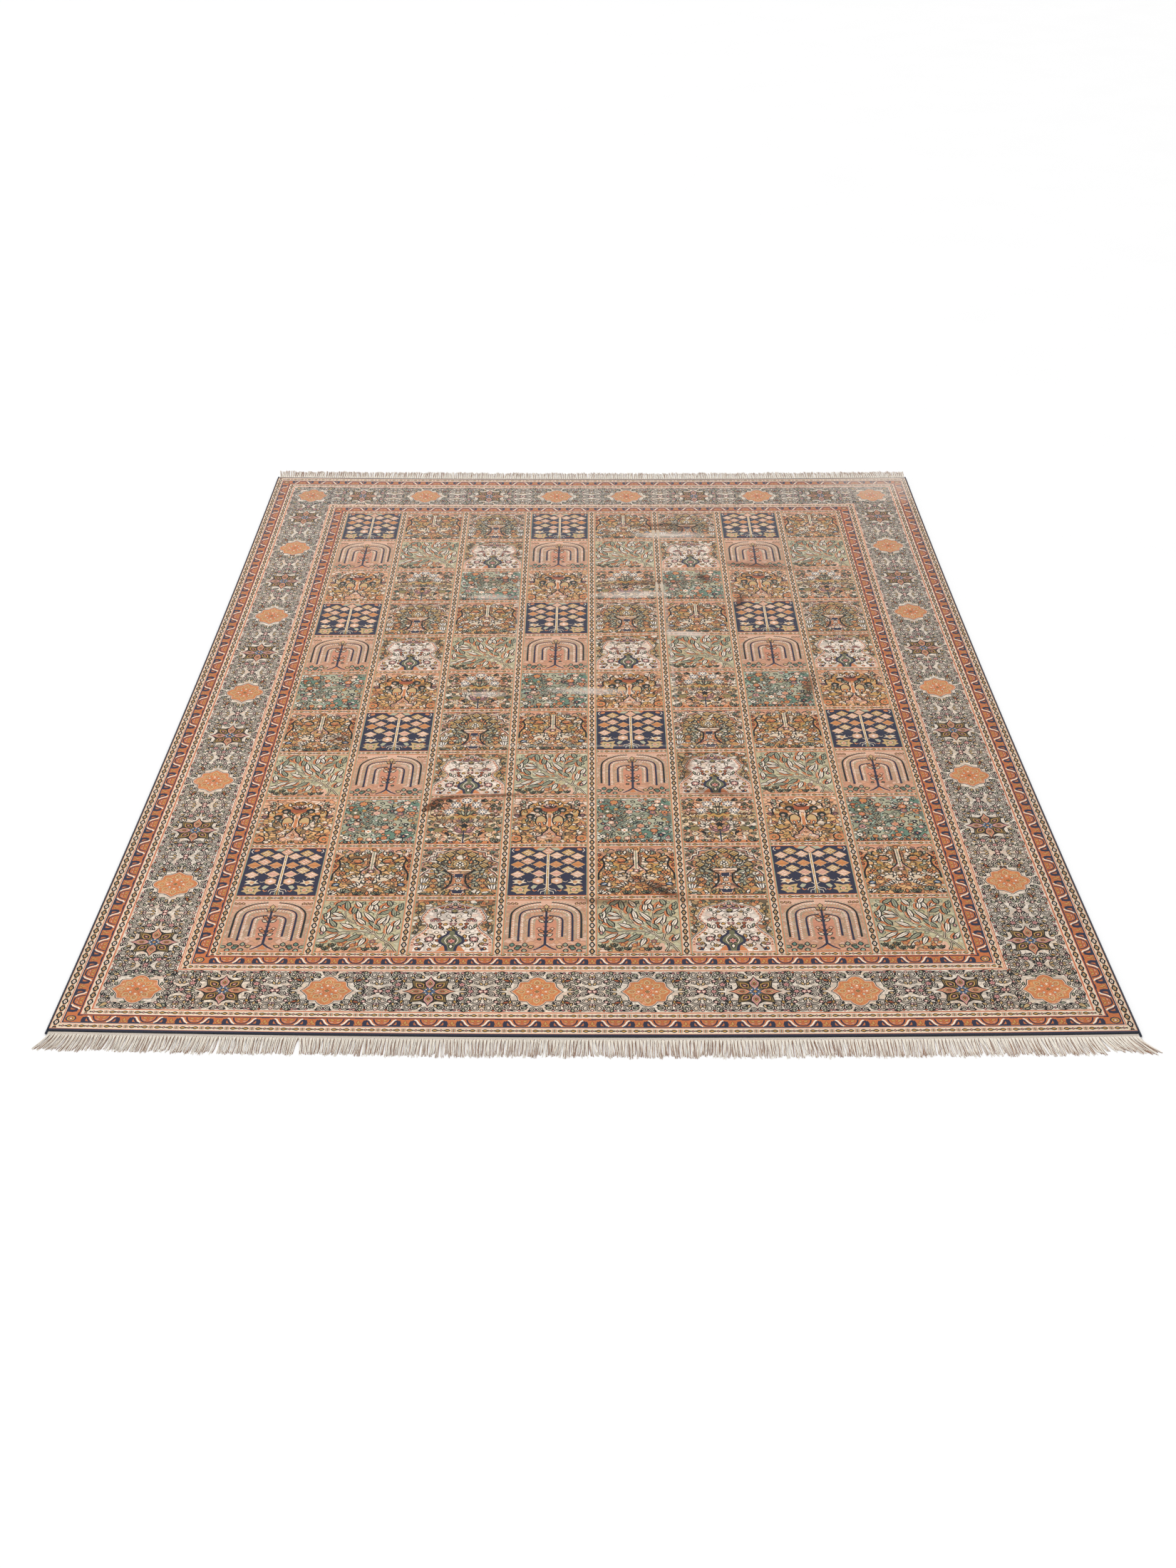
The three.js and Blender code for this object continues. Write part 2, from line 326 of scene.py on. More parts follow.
def ground_cover(card, fills, x0, y0, x1, y1, pitch=15.0, edge="ink"):
    """Small leaves, buds and curls in staggered rows all over a ground, before a garden grows on it."""
    for row in range(int((y1 - y0) / (0.84 * pitch)) + 1):
        for k in range(int((x1 - x0) / pitch) + 1):
            number = 5 * row + 3 * k
            x = x0 + pitch * (k + (0.5 if row % 2 else 0.08) + 0.12 * ((row * 7 + k * 5) % 4 - 1.5))
            y = y0 + pitch * (0.84 * row + 0.3 + 0.1 * ((row * 3 + k * 7) % 3 - 1))
            if x > x1 - 2 or y > y1 - 3:
                continue
            here = card.at(x, y, (row * 73 + k * 137) % 360)
            fill = fills[number % len(fills)]
            if number % 7 in (0, 4):
                blossom(card.at(x, y), 5.2, fill, edge, None, 5)
            elif number % 7 in (2, 5):
                here.line([(-6, -2), (-1, 2.4), (4.4, 1), (6.4, -4)], 3.7, edge, tip=0.6)
            else:
                leaf(here.at(-6, 0), 12, 6.0, fill, edge, rim=1.5)


print("a blossom of 8 mm takes", len(ring(8, 8, 0.52)), "corners; an outline is", RIM, "mm wide")

# %% [markdown]
# ## Nine gardens
#
# The field repeats nine small gardens, each drawn about the middle of its panel with +Y towards the far
# end of the rug. On the real rug every panel is charted knot by knot. Here a garden is a list of the
# motifs above, each given by its place in millimetres, which is short and easy to change. What is
# symmetric is drawn once on a card and on its mirror image. The first two gardens are a tree of lozenges
# on navy and a weeping tree on rose and salmon.

# %% Lozenge tree and weeping tree
PANEL_X, PANEL_Y = 73.5, 82.6  # half sizes of a panel's ground


def ground(card, yarn):
    """The colour that a garden grows on."""
    card.area(box_points(-PANEL_X, -PANEL_Y, PANEL_X, PANEL_Y), yarn)


def tell(*gardens):
    """Print how many shapes each garden takes."""
    for garden in gardens:
        trial = Card()
        garden(trial)
        print(garden.__name__, "takes", len(trial.shapes), "shapes")


def checked_lozenge(card, fill, light, half_x=12.4, half_y=10.8):
    """A lozenge with a straw outline and a few lighter bars woven across it."""
    lozenge(card, half_x, half_y, fill, "straw", rim=1.3)
    for k in (-1, 0, 1):
        card.line([(3.8 * k - 4.2, 3.2 * k + 3.6), (3.8 * k + 4.2, 3.2 * k - 3.6)], 1.6, light)
    card.line([(-0.7 * half_x, -0.8), (0.7 * half_x, -0.8)], 0.9, "rust")


def lozenge_tree(card):
    ground(card, "navy")
    for side in card.both():
        for x, y, fill, light in ((38.7, 64.8, "gold", "ivory"), (16.5, 54.4, "blush", "ivory"),
                                  (56.5, 51.0, "blush", "ivory"), (38.5, 34.4, "peach", "ivory"),
                                  (15.6, 22.8, "orange", "straw"), (57.4, 22.4, "orange", "gold"),
                                  (38.6, 4.5, "straw", "ivory"), (16.4, -8.8, "blush", "pink"),
                                  (56.6, -11.6, "blush", "ivory")):
            checked_lozenge(side.at(x, y), fill, light)
            for leg in side.at(x, y - 9).both():
                leg.line([(2, 1.5), (6.5, -0.5), (8.5, -4.5)], 1.3, "cream", tip=0.4)
        side.area(((4, 82.6), (12, 72.5), (22, 73.5), (28, 82.6)), "pale_sage")
        side.area(((18, 82.6), (24, 74), (30, 82.6)), "orange")
        side.area(((56, 80), (63, 79), (66, 73), (60, 71.5), (55, 75)), "orange")
        side.line([(67, 79), (70, 72), (66, 66)], 1.5, "ivory")
        blossom(side.at(17.5, -34), 12, "blush", "gold", "white", petals=6, dip=0.8)
        side.line([(27, -34), (35, -38), (38, -34)], 1.6, "cream", tip=0.5)
        # leafy shapes in the lower corners
        side.area(((42, -28), (48, -34), (56, -30), (66, -33), (60, -38), (66, -44), (56, -43), (52, -48),
                   (47, -42), (38, -41), (45, -36)), "cream")
        blossom(side.at(52, -38), 5, "peach", "gold", None, petals=5)
        side.area(((34, -48), (42, -50), (50, -53), (60, -50), (67, -56), (62, -62), (68, -68), (60, -72),
                   (56, -78), (47, -76), (40, -80), (38, -70), (30, -66), (38, -60)), "straw")
        side.area(((40, -56), (50, -58), (60, -60), (54, -66), (60, -72), (49, -70), (42, -72), (44, -64)),
                  "moss")
        blossom(side.at(50, -64), 6.5, "orange", "cream", "pink", petals=5)
        hook(side.at(64, -49, 200), 4.5, "rust", 1.8, 220)
        side.area(((18, -50), (26, -48), (31, -56), (27, -62), (22, -58)), "pale_sage")
        side.line([(27, -64), (24, -69), (19, -66)], 3.4, "orange", tip=0.5)
        side.line(curved([(1.5, -56), (7, -62), (14, -63), (17, -70)]), 2.2, "cream", tip=0.5)
        side.line(curved([(1.0, -60), (5, -68), (11, -70), (12, -78)]), 2.0, "ivory", tip=0.5)
        side.line([(3, -66), (4, -80)], 2.0, "sage")
        side.line([(1.9, 58), (1.9, -58)], 1.4, "ivory")
        side.line([(1.4, -50), (8, -44)], 1.4, "cream")
    card.line([(0, 60), (0, -80)], 2.4, "gold")
    for y in (33, 8, -24):
        for side in card.at(0, y).both():
            hook(side.at(0.6, 0, 35), 3.4, "cream", 1.3, 200)
    checked_lozenge(card.at(0, 69.5), "peach", "ivory", half_x=11, half_y=12)


def weeping_tree(card):
    ground(card, "rose")
    card.area(curved([(-16, -48), (-20, -10), (-18, 18), (0, 34), (18, 18), (20, -10), (16, -48)]), "salmon")
    card.area(box_points(-73.5, 66, 73.5, 82.6), "blush")
    arcs = ([(10, 75), (24, 73), (38, 68), (51, 59), (62, 43), (64.5, 20), (64.3, -40)],
            [(10, 55.5), (30, 51.5), (42, 45), (47.5, 34), (48.5, 10), (48.5, -45)],
            [(5, 33), (17, 30.5), (26, 26), (30, 18), (30.5, 0), (30, -36)])
    for side in card.both():
        for number, arc in enumerate(arcs):
            path = curved(arc, 4)
            walk = 0.0
            for (ax, ay), (bx, by) in zip(path, path[1:]):
                length = math.hypot(bx - ax, by - ay)
                while walk < length:
                    t = walk / length
                    x, y = ax + (bx - ax) * t, ay + (by - ay) * t
                    heading = math.degrees(math.atan2(by - ay, bx - ax))
                    twig = side.at(x, y, heading)
                    for offset, yarn in ((4.8, "sage"), (-4.8, "ivory"), (-8.8, "sage")):
                        twig.area(((-1.0, offset - 2.2), (2.4, offset - 2.2), (3.0, offset + 2.2)), yarn)
                    walk += 5.6
                walk -= length
            side.line(path, 2.8, "navy" if number else "slate", tip=1.5)
        blossom(side.at(48.5, -47), 3.6, "navy", "navy", None, 5)
        # leaves up the trunk, in pairs
        for y, fill in ((22, "orange"), (10, "cream"), (-22, "orange"), (-34, "cream")):
            leaf(side.at(3, y, 40), 13, 6, fill, "slate", rim=1.8)
        blossom(side.at(12, -10), 5.6, "peach", "slate", "cream", 4)
        side.line([(1, -4), (5, -1)], 2.0, "slate")
        bead(side.at(11, -43.5), 4.8, 3.6, "moss", "slate")
        # sage clumps in the lower corners
        for x, y, turn, fill in ((36, -66, 90, "sage"), (30, -70, 150, "straw"), (43, -70, 40, "moss"),
                                 (60, -66, 100, "deep_teal"), (66, -72, 40, "sage"),
                                 (54, -74, 150, "deep_teal"), (37, -74, -90, "sage"), (60, -75, -80, "teal")):
            leaf(side.at(x, y, turn), 11, 7.5, fill)
        side.line([(45, -74), (49, -80), (54, -74)], 2.1, "brown")
        for x in (54, 61, 68):
            leaf(side.at(x, 69, 65), 7, 3.0, "straw", "brown")
        # roots
        side.line([(0.5, -60), (10, -70), (21, -77.5)], 5.0, "navy", tip=0.5)
    card.area(((-7, -76), (7, -76), (0, -62)), "orange")
    card.line([(-9, -79.5), (9, -79.5)], 1.6, "sage")
    card.line([(0.6, 48), (-0.5, -62)], 4.2, "navy", tip=1.2)
    lozenge(card.at(0, 61), 4.2, 7.0, "straw", "slate")
    for side in card.both():
        leaf(side.at(2, 50, 25), 9, 5.5, "straw")
        leaf(side.at(1, 47, -10), 7, 3.5, "orange")


tell(lozenge_tree, weeping_tree)

# %% [markdown]
# Long lance leaves with an orange shadow leaf behind each make the third garden. The fourth is a vase
# under a cusped arch. The ground outside the arch is laid first, then a rosy field inside it and a
# smaller pale one, so a rosy band is left as its rim. Its edge is a navy line on an ivory one, with
# small rust cusps hanging from it.

# %% Lance leaves and arched vase
LANCE_LEAVES = ((-34, 57, 118, 26), (-28, 50, 98, 26), (-33, 30, 152, 22), (-30, 24, 178, 27),
                (-17, 38, 84, 24), (-4, 20, 100, 22), (-12, -8, 148, 22), (-37, -20, 158, 24),
                (-38, -26, 214, 24), (-18, -26, 216, 24), (4, -28, 222, 24), (27, 48, 110, 28),
                (34, 55, 50, 22), (30, 36, 32, 24), (24, 12, 124, 30), (42, 2, 78, 26), (37, -14, 128, 28),
                (52, -28, 82, 30), (8, 4, 130, 20), (-58, 40, 70, 18), (-56, 4, 100, 20), (12, 46, 84, 22),
                (60, 30, 100, 20), (62, -2, 70, 18), (12, -40, 250, 20), (-20, -46, 190, 20),
                (-56, -44, 200, 16), (14, 66, 60, 18), (-52, 66, 40, 18), (-66, 20, 80, 20),
                (-4, 60, 120, 18), (66, 48, 80, 20), (60, -50, 60, 20), (30, 4, 60, 22), (-44, -4, 120, 20),
                (-4, -52, 230, 18), (-64, -22, 100, 18), (50, 64, 110, 16))


def lance_leaves(card):
    ground(card, "lawn")
    card.area(((-73.5, -82.6), (73.5, -82.6), (60, -76), (30, -66), (0, -70), (-20, -62), (-40, -72),
               (-60, -68), (-73.5, -72)), "dawn")
    card.area(((10, -80), (26, -58), (44, -56), (50, -82)), "blush")
    ground_cover(card, ("pale_sage", "ivory", "orange"), -PANEL_X, -PANEL_Y, PANEL_X, PANEL_Y, 20, "moss")
    stems = ([(70, -82), (57, -58), (43, -45), (28, -27), (24, 0), (27, 30), (31, 58)],
             [(47, -82), (53, -66), (50, -52), (43, -45)], [(28, -27), (5, -19), (-20, -18), (-40, -22)],
             [(28, -27), (8, -6), (-12, 8), (-28, 24), (-33, 52)], [(43, -45), (48, -20), (44, 6), (51, 30)],
             [(-2, 0), (-14, 22), (-17, 40)])
    for stem in stems:
        card.line(curved(stem), 4.8, "ink", tip=0.6)
    for number, (x, y, turn, length) in enumerate(LANCE_LEAVES):
        here = card.at(x, y, turn)
        leaf(here.at(-1, 4.8, 9), 0.96 * length, 6.4, "orange", "rust", rim=1.4)
        leaf(here, 1.34 * length, 7.8, "sage" if number % 3 == 1 else "ivory", "ink", rim=2.7)
        here.line([(0.1 * length, 0.3), (1.15 * length, 0.3)], 1.5, "slate", tip=0.4)
    for stem in stems:
        card.line(curved(stem), 1.5, "cream", tip=0.5)
    for x, y, turn in ((-67, 34, 100), (-66, 11, 120), (-67, -25, 95), (65, 66, 75), (66, 40, 110),
                       (69, -7, 95), (62, -45, 80), (-66, 60, 80), (-4, 74, 60)):
        leaf(card.at(x, y - 4, turn), 10, 5, "pink" if y < 0 else "sage")
    for x, y, fill in ((21, -66, "orange"), (27, -50, "mauve"), (-8, -62, "orange"), (-29, -60, "orange"),
                       (5, -74, "orange"), (-52, -70, "gold")):
        blossom(card.at(x, y), 7, fill, "brown", "gold", 6)
    for x, y in ((-66, -66), (-56, -74), (-44, -64), (-36, -76), (16, -76), (-20, -74), (34, -74)):
        for turn in (60, 90, 125):
            leaf(card.at(x, y - 4, turn), 12, 3.2, "moss", "ink")


ARCH = ((0, 79), (12, 70.5), (21, 65.5), (36, 60), (49, 54), (53.6, 42), (58.5, 31), (58, 20), (50, 8),
        (46.5, -2), (51, -13), (59, -24), (67, -33), (73.4, -45), (73.4, -58))


def arched_vase(card):
    ground(card, "thicket")
    for side in card.both():
        side.line(curved([(70, -36), (62, -16), (67, 2), (60, 16), (66, 34), (60, 54), (68, 66)]), 2.1,
                  "slate")
        for x, y, r, fill in ((52, 74, 6.5, "orange"), (23, 76, 5.5, "gold"), (66, 6, 5, "orange"),
                              (62, 30, 4, "ivory"), (64, 50, 4, "gold"), (66, -14, 4.6, "ivory"),
                              (36, 71, 4, "teal")):
            blossom(side.at(x, y), r, fill, "slate", "rust", 5)
        for x, y, turn in ((62, 62, 40), (68, 40, 100), (60, 0, 70), (68, -24, 90), (42, 76, 20),
                           (14, 78, 160)):
            leaf(side.at(x, y, turn), 8, 4, "moss")
        side.area([(0, -83), (0, 79), *curved(ARCH)[1:], (73.5, -83)], "blush")
    inner = [(0.9 * x, y - 6 if y > 60 else y - 2.5) for x, y in ARCH]
    for side in card.both():
        side.area([(0, -83), *curved(inner), (68, -83)], "frost")
    for side in card.both():
        ground_cover(side, ("rust", "gold", "ivory", "ivory"), 3, -66, 44, 64, 16, "umber")
        ground_cover(side, ("orange", "gold", "pink"), 40, -78, 66, -40, 16, "umber")
    for side in card.both():
        path = curved(ARCH, 3)
        side.line(path, 3.4, "ivory")
        side.line(path, 1.8, "navy")
        for x, y in path[2::2]:
            side.at(0.95 * x, y - 3.4).area(ring(3.0, 3), "rust")
    # what stands in the arch
    for side in card.both():
        leaf(side.at(3, 56, -8), 17, 5, "mauve")
        leaf(side.at(4, 62, 20), 9, 4, "pink")
        side.line([(2, 40), (14, 46), (26, 40)], 1.9, "slate")
        for x, y, r, fill in ((21, 43, 4.6, "gold"), (29, 41, 4.6, "ivory"), (27, 17, 5.8, "pink"),
                              (38, 17, 5.8, "pink"), (40, -43, 9.6, "pink"), (55, -57, 5.6, "gold"),
                              (30, -64, 6.2, "gold")):
            blossom(side.at(x, y), r, fill, "slate", "ivory" if r > 9 else "navy", 8 if r > 9 else 5)
        leaf(side.at(33, 46, 70), 8, 3, "sage")
        hook(side.at(4, 25, 75, flip=True), 5.0, "brown", 2.0, 200, "pink")
        hook(side.at(5, 4, 80, flip=True), 7.4, "brown", 2.2, 210, "mauve")
        leaf(side.at(22, -10, 80), 12, 4.4, "rust")
        leaf(side.at(33, -12, 100), 14, 4.0, "ivory")
        leaf(side.at(39, -6, 75), 12, 4.0, "sage")
        side.line([(32, -22), (38, -28), (46, -24)], 1.2, "moss")
        leaf(side.at(46, -30, 60), 8, 3.4, "gold")
        leaf(side.at(55, -78, 60), 9, 4, "navy", "navy")
        leaf(side.at(62, -76, 110), 8, 4, "orange")
        # handles and body of the vase
        hook(side.at(8, -28, 35), 7.0, "brown", 2.6, 300, "pink")
        side.area(((8, -80), (26, -81), (20, -70), (13, -62), (9, -70)), "orange")
    card.area([(-5, -18), (-5, -30), (-21, -42), (-22, -52), (-14, -62), (-8, -68), (-9, -81), (9, -81),
               (8, -68), (14, -62), (22, -52), (21, -42), (5, -30), (5, -18)], "moss")
    for side in card.both():
        side.line(curved([(8, -17), (7.5, -27), (17, -36), (21, -45), (20, -54), (10, -64), (7.5, -80)]),
                  5.4, "navy")
        side.line([(3, -30), (10, -40), (12, -48), (8, -58)], 1.3, "ivory")
    blossom(card.at(0, -49), 9.5, "pink", "slate", "rust", 6)
    leaf(card.at(0, -60, -90), 12, 6, "ivory")
    for turn in (30, 60, 90, 120, 150):
        leaf(card.at(0, -16, turn), 16 if turn == 90 else 13, 5.2, "gold")
    blossom(card.at(0, 24), 4.5, "orange", "slate", None, 4)
    blossom(card.at(0, 61), 7.5, "pink", "slate", "gold", 6)
    leaf(card.at(0, 66, 90), 9, 5, "sage")
    lozenge(card.at(0, 48), 6, 5, "olive", "slate")


tell(lance_leaves, arched_vase)

# %% [markdown]
# Two big looped boughs round a trunk, on ochre and pink, and a slope of scattered blossoms under a
# leaning tree, on grey-green. The scattered flowers are listed, one row of a short table each,
# as place, size and the yarns of petal and heart.

# %% Looped tree and flowering slope
def looped_tree(card):
    ground(card, "stubble")
    card.area(box_points(-PANEL_X, 16, PANEL_X, PANEL_Y), "dawn")
    for side in card.both():
        ground_cover(side, ("ivory", "blush", "orange", "gold"), 3, -82, PANEL_X, 14, 16, "slate")
        ground_cover(side, ("ivory", "sage", "cream"), 34, 30, PANEL_X, PANEL_Y, 14)
        # the gold crown, its dark shoulders and the leafy fruit
        side.area([(0, 76), (20, 73), (34, 65), (42, 56), (43, 45), (55, 42), (59, 31), (57, 17), (44, 13),
                   (28, 22), (0, 28)], "honey")
        side.area([(44, 38), (54, 36), (56, 22), (46, 20)], "straw")
        side.area([(0, 50), (19, 47), (21, 36), (0, 33)], "rust")
        side.line(curved([(33, 66), (42.6, 57), (42.6, 45), (55, 42.4), (59.5, 31), (57, 15)]), 3.6, "ink")
        side.line(curved([(0, 81), (8, 79), (15, 70)]), 3.0, "ivory", tip=0.7)
        side.line(curved([(2, 76.5), (8, 74.5), (12, 69)]), 2.6, "ink")
        for x, y, turn, size in ((24, 64, 80, 5.6), (64, 62, 120, 6.4), (70, 46, 60, 5.0), (46, 76, 20, 5.0)):
            hook(side.at(x, y, turn), size, "ink", 3.2, 230)
        for x, y, turn, fill in ((10, 66, 30, "gold"), (18, 58, 70, "ivory"), (30, 54, 20, "straw"),
                                 (50, 66, 60, "sage"), (60, 22, 350, "mauve"), (60, 14, 30, "mauve"),
                                 (46, 30, 60, "gold")):
            leaf(side.at(x, y, turn), 12, 5, fill, "ink")
        for x, y in ((24.5, 40), (38, 17)):
            blossom(side.at(x, y), 10, "slate", "ink", None, 7, 0.6)
            blossom(side.at(x + 1, y - 2), 4.4, "pink", "sage", None, 5)
        for x, y, turn in ((15, 36, 250), (10, 32, 262), (21, 32, 240), (32, 6, 250), (44, 8, 280)):
            leaf(side.at(x, y, turn), 13, 4.0, "sage", "ink")
        # an open loop on each side of the trunk, gold above and orange below
        side.area([(9, 12), (17, 17), (25, 10), (27, -6), (22, -18), (12, -18), (9, -8)], "straw")
        side.area([(10, -4), (26, -4), (22, -18), (12, -18)], "orange")
        side.line(curved([(7, 9), (15, 18), (25, 13), (28, -2), (24, -18), (15, -21)]), 3.4, "ink", tip=0.6)
        side.line(curved([(9, 26), (8, 14), (5, 4), (7, -8), (12, -18)]), 2.6, "ink")
        side.line([(4.6, 24), (3.2, 2), (5, -20)], 1.5, "ivory")
        for x, y, turn in ((12, -6, 250), (20, -8, 260)):
            leaf(side.at(x, y, turn), 10, 2.6, "ivory")
        side.line([(34, 8), (38, -4), (44, -10)], 2.4, "ink")
        side.line([(44, 2), (36, -10)], 2.0, "slate")
        # birds beside the trunk
        side.area([(36, -28), (46, -22), (58, -24), (62, -32), (50, -37)], "gold")
        side.line(curved([(28, -26), (36, -34), (47, -38), (57, -34), (60, -26)]), 3.0, "ink")
        side.line(curved([(59, -10), (52, -14), (56, -22), (51, -28)]), 2.6, "ink")
        leaf(side.at(44, -18, 30), 10, 5.5, "ivory", "ink")
        side.line([(57, -12), (66, -16), (73, -22)], 2.2, "mauve")
        hook(side.at(69, -32, 260, flip=True), 6.4, "navy", 3.4, 240)
        side.line([(52, -40), (44, -50)], 2.4, "slate")
        # roots and the corner scrolls
        roots = [(1.5, -24), (4, -34), (8, -41), (14, -49), (14, -55), (24, -60), (25, -68), (19, -73)]
        side.area([(0, -24), *roots[1:], (0, -76)], "dawn")
        side.line(curved(roots), 3.2, "ink")
        side.line([(x - 2.6, y - 1.6) for x, y in curved(roots)][2:], 1.5, "pink")
        side.line([(14, -48), (16, -42)], 2.4, "ink")
        blossom(side.at(8, -58), 3.4, "ivory", "slate", None, 4)
        side.at(64, -66).area(ring(11, 8), "orange")
        side.line(curved([(68, -52), (57, -55), (52.5, -66), (57, -77), (68, -79)]), 3.6, "ink", tip=0.6)
        blossom(side.at(64, -66), 5, "gold", "slate", "teal", 5)
    card.area([(-3.4, 10), (3.4, 10), (3.4, -20), (0, -26), (-3.4, -20)], "orange")
    lozenge(card.at(0, -49), 2.6, 3.4, "orange", "ink")
    card.area([(-15, 60), (15, 60), (10, 49), (-10, 49)], "blush")
    card.line(curved([(-14, 56), (-7, 47), (7, 47), (14, 56)]), 2.8, "ink")
    for turn, fill in ((30, "pink"), (60, "ivory"), (90, "pink"), (120, "ivory"), (150, "pink")):
        leaf(card.at(0, 50, turn), 14, 4.6, fill, "ink")
    for turn in (50, 90, 130):
        leaf(card.at(0, -78, turn), 9, 3.4, "gold", "ink")


SLOPE_FLOWERS = (
    (-40, 67, 10, "orange", "gold"), (-64, 76, 6, "ivory", "navy"), (-63, 53, 7, "rust", "orange"),
    (-53, 33, 12, "moss", "ivory"), (-36, 41, 6, "gold", "orange"), (-49, 17, 8.5, "orange", "pink"),
    (-43.7, 5, 7.5, "ink", "white"), (-46, -9, 8, "blush", "ivory"), (-62, -13, 6.5, "navy", "orange"),
    (-66, 13, 5, "pink", "ivory"), (-12, 51, 8, "orange", "blush"), (-10, 31, 9.5, "blush", "pink"),
    (-54, -30, 8.5, "pink", "slate"), (-20, -38, 9, "ivory", "orange"), (-63, -60, 7.5, "ivory", "slate"),
    (-33, -66, 7.5, "orange", "gold"), (-15, -67, 8, "blush", "ivory"), (24, 77, 5, "orange", "rust"),
    (12, 74, 5.5, "pink", "slate"), (48, 70, 9, "blush", "ivory"), (64, 74, 6, "sage", "navy"),
    (20, 39, 7, "slate", "pink"), (36, 44, 10, "orange", "blush"), (64, 51, 6.5, "pink", "ivory"),
    (37, 28, 8, "mauve", "gold"), (61, 28, 8.5, "orange", "navy"), (52, -13, 6, "slate", "white"),
    (12, -22, 9.5, "peach", "orange"), (6, -38, 9, "blush", "peach"), (25, -24, 6, "slate", "ivory"),
    (38, -40, 8.5, "orange", "peach"), (62, -33, 6.5, "pink", "ivory"), (51, -56, 7.5, "navy", "orange"),
    (13, -62, 8, "orange", "rust"), (46, 56, 7, "ivory", "gold"), (60, 2, 6, "gold", "sage"),
    (-68, -42, 5, "gold", "rust"), (30, 8, 6, "gold", "orange"), (8, 8, 6, "ivory", "pink"),
    (31, -74, 6, "orange", "gold"), (-48, -74, 5, "orange", "gold"), (64, -66, 6, "pink", "navy"))


def flowering_slope(card):
    ground(card, "meadow")
    for x, y, half, yarn in ((-56, 46, 20, "deep_teal"), (-60, -30, 16, "sage"), (-2, 60, 20, "pale_sage"),
                             (40, -8, 26, "pale_sage"), (20, -52, 18, "deep_teal"),
                             (56, -50, 16, "deep_teal"), (10, 14, 18, "sage"), (60, 62, 14, "deep_teal"),
                             (-30, -56, 16, "pale_sage")):
        card.at(x, y).area(ring(half, 7), yarn)
    ground_cover(card, ("blush", "orange", "ivory", "peach"), -PANEL_X, -PANEL_Y, PANEL_X, PANEL_Y, 16)
    trunk = [(-51, -84), (-50, -66), (-46, -46), (-32, -26), (-21, -6), (-23, 22), (-27, 60)]
    for points in (trunk, [(-27, -20), (-8, -2), (2, 14)], [(-22, 0), (-12, 20), (-16, 42)],
                   [(-4, 2), (10, 18), (22, 30)], [(-47, -54), (-58, -44), (-64, -30)],
                   [(10, 18), (26, 22), (44, 44)]):
        card.line(curved(points), 4.6, "slate", tip=0.5)
        card.line(curved(points), 1.7, "pale_sage", tip=0.4)
    for k in range(9):
        t = k / 9
        leaf(card.at(-30 + 8 * t, 60 - 74 * t, 150 if k % 2 else 40), 10, 4.2, "sage")
    for x, y, turn in ((-60, 66, 30), (-46, 56, 160), (-68, 40, 100), (-36, 24, 120), (-58, 6, 200),
                       (-34, -8, 30), (-40, -44, 170), (-24, -26, 20), (-8, -20, 60), (2, -6, 120),
                       (4, 40, 80), (2, 66, 140), (30, 62, 60), (54, 60, 200), (30, 30, 10), (48, 34, 100),
                       (70, 40, 250), (44, 10, 30), (58, -12, 170), (40, -16, 60), (66, -20, 100),
                       (26, -40, 30), (52, -40, 140), (40, -58, 60), (-6, -50, 30), (-26, -50, 150),
                       (-44, -60, 60), (-56, -50, 200), (66, -50, 60), (20, -10, 80)):
        leaf(card.at(x, y, turn), 10, 4.4, "sage" if x < 0 else "pale_sage")
    for x, y, size, petal, heart in SLOPE_FLOWERS:
        blossom(card.at(x, y), size, petal, "slate" if petal != "ink" else "brown", heart,
                6 + int(size) % 3, 0.7)
    for k in range(16):
        x = -70 + 9.3 * k
        leaf(card.at(x, -83, 64 + 26 * (k % 3)), 11, 3.4, "deep_teal" if k % 2 else "orange", "ink")


tell(looped_tree, flowering_slope)

# %% [markdown]
# A garden of five white rosettes over bushes and tulips, on beige, and a bouquet of fans in a footed
# vase inside a cusped frame. The rosettes have eight navy petals between white spokes, so they are
# drawn as a white round with eight small navy triangles on it.

# %% Five rosettes and fan bouquet
def white_rosette(card, radius):
    card.area(ring(radius, 8), "white")
    for k in range(8):
        petal = card.at(0, 0, 45 * k + 22.5)
        petal.area(((0.34 * radius, 0), (0.86 * radius, 0.29 * radius), (0.86 * radius, -0.29 * radius)),
                   "navy")
    card.area(ring(0.2 * radius, 4), "gold")


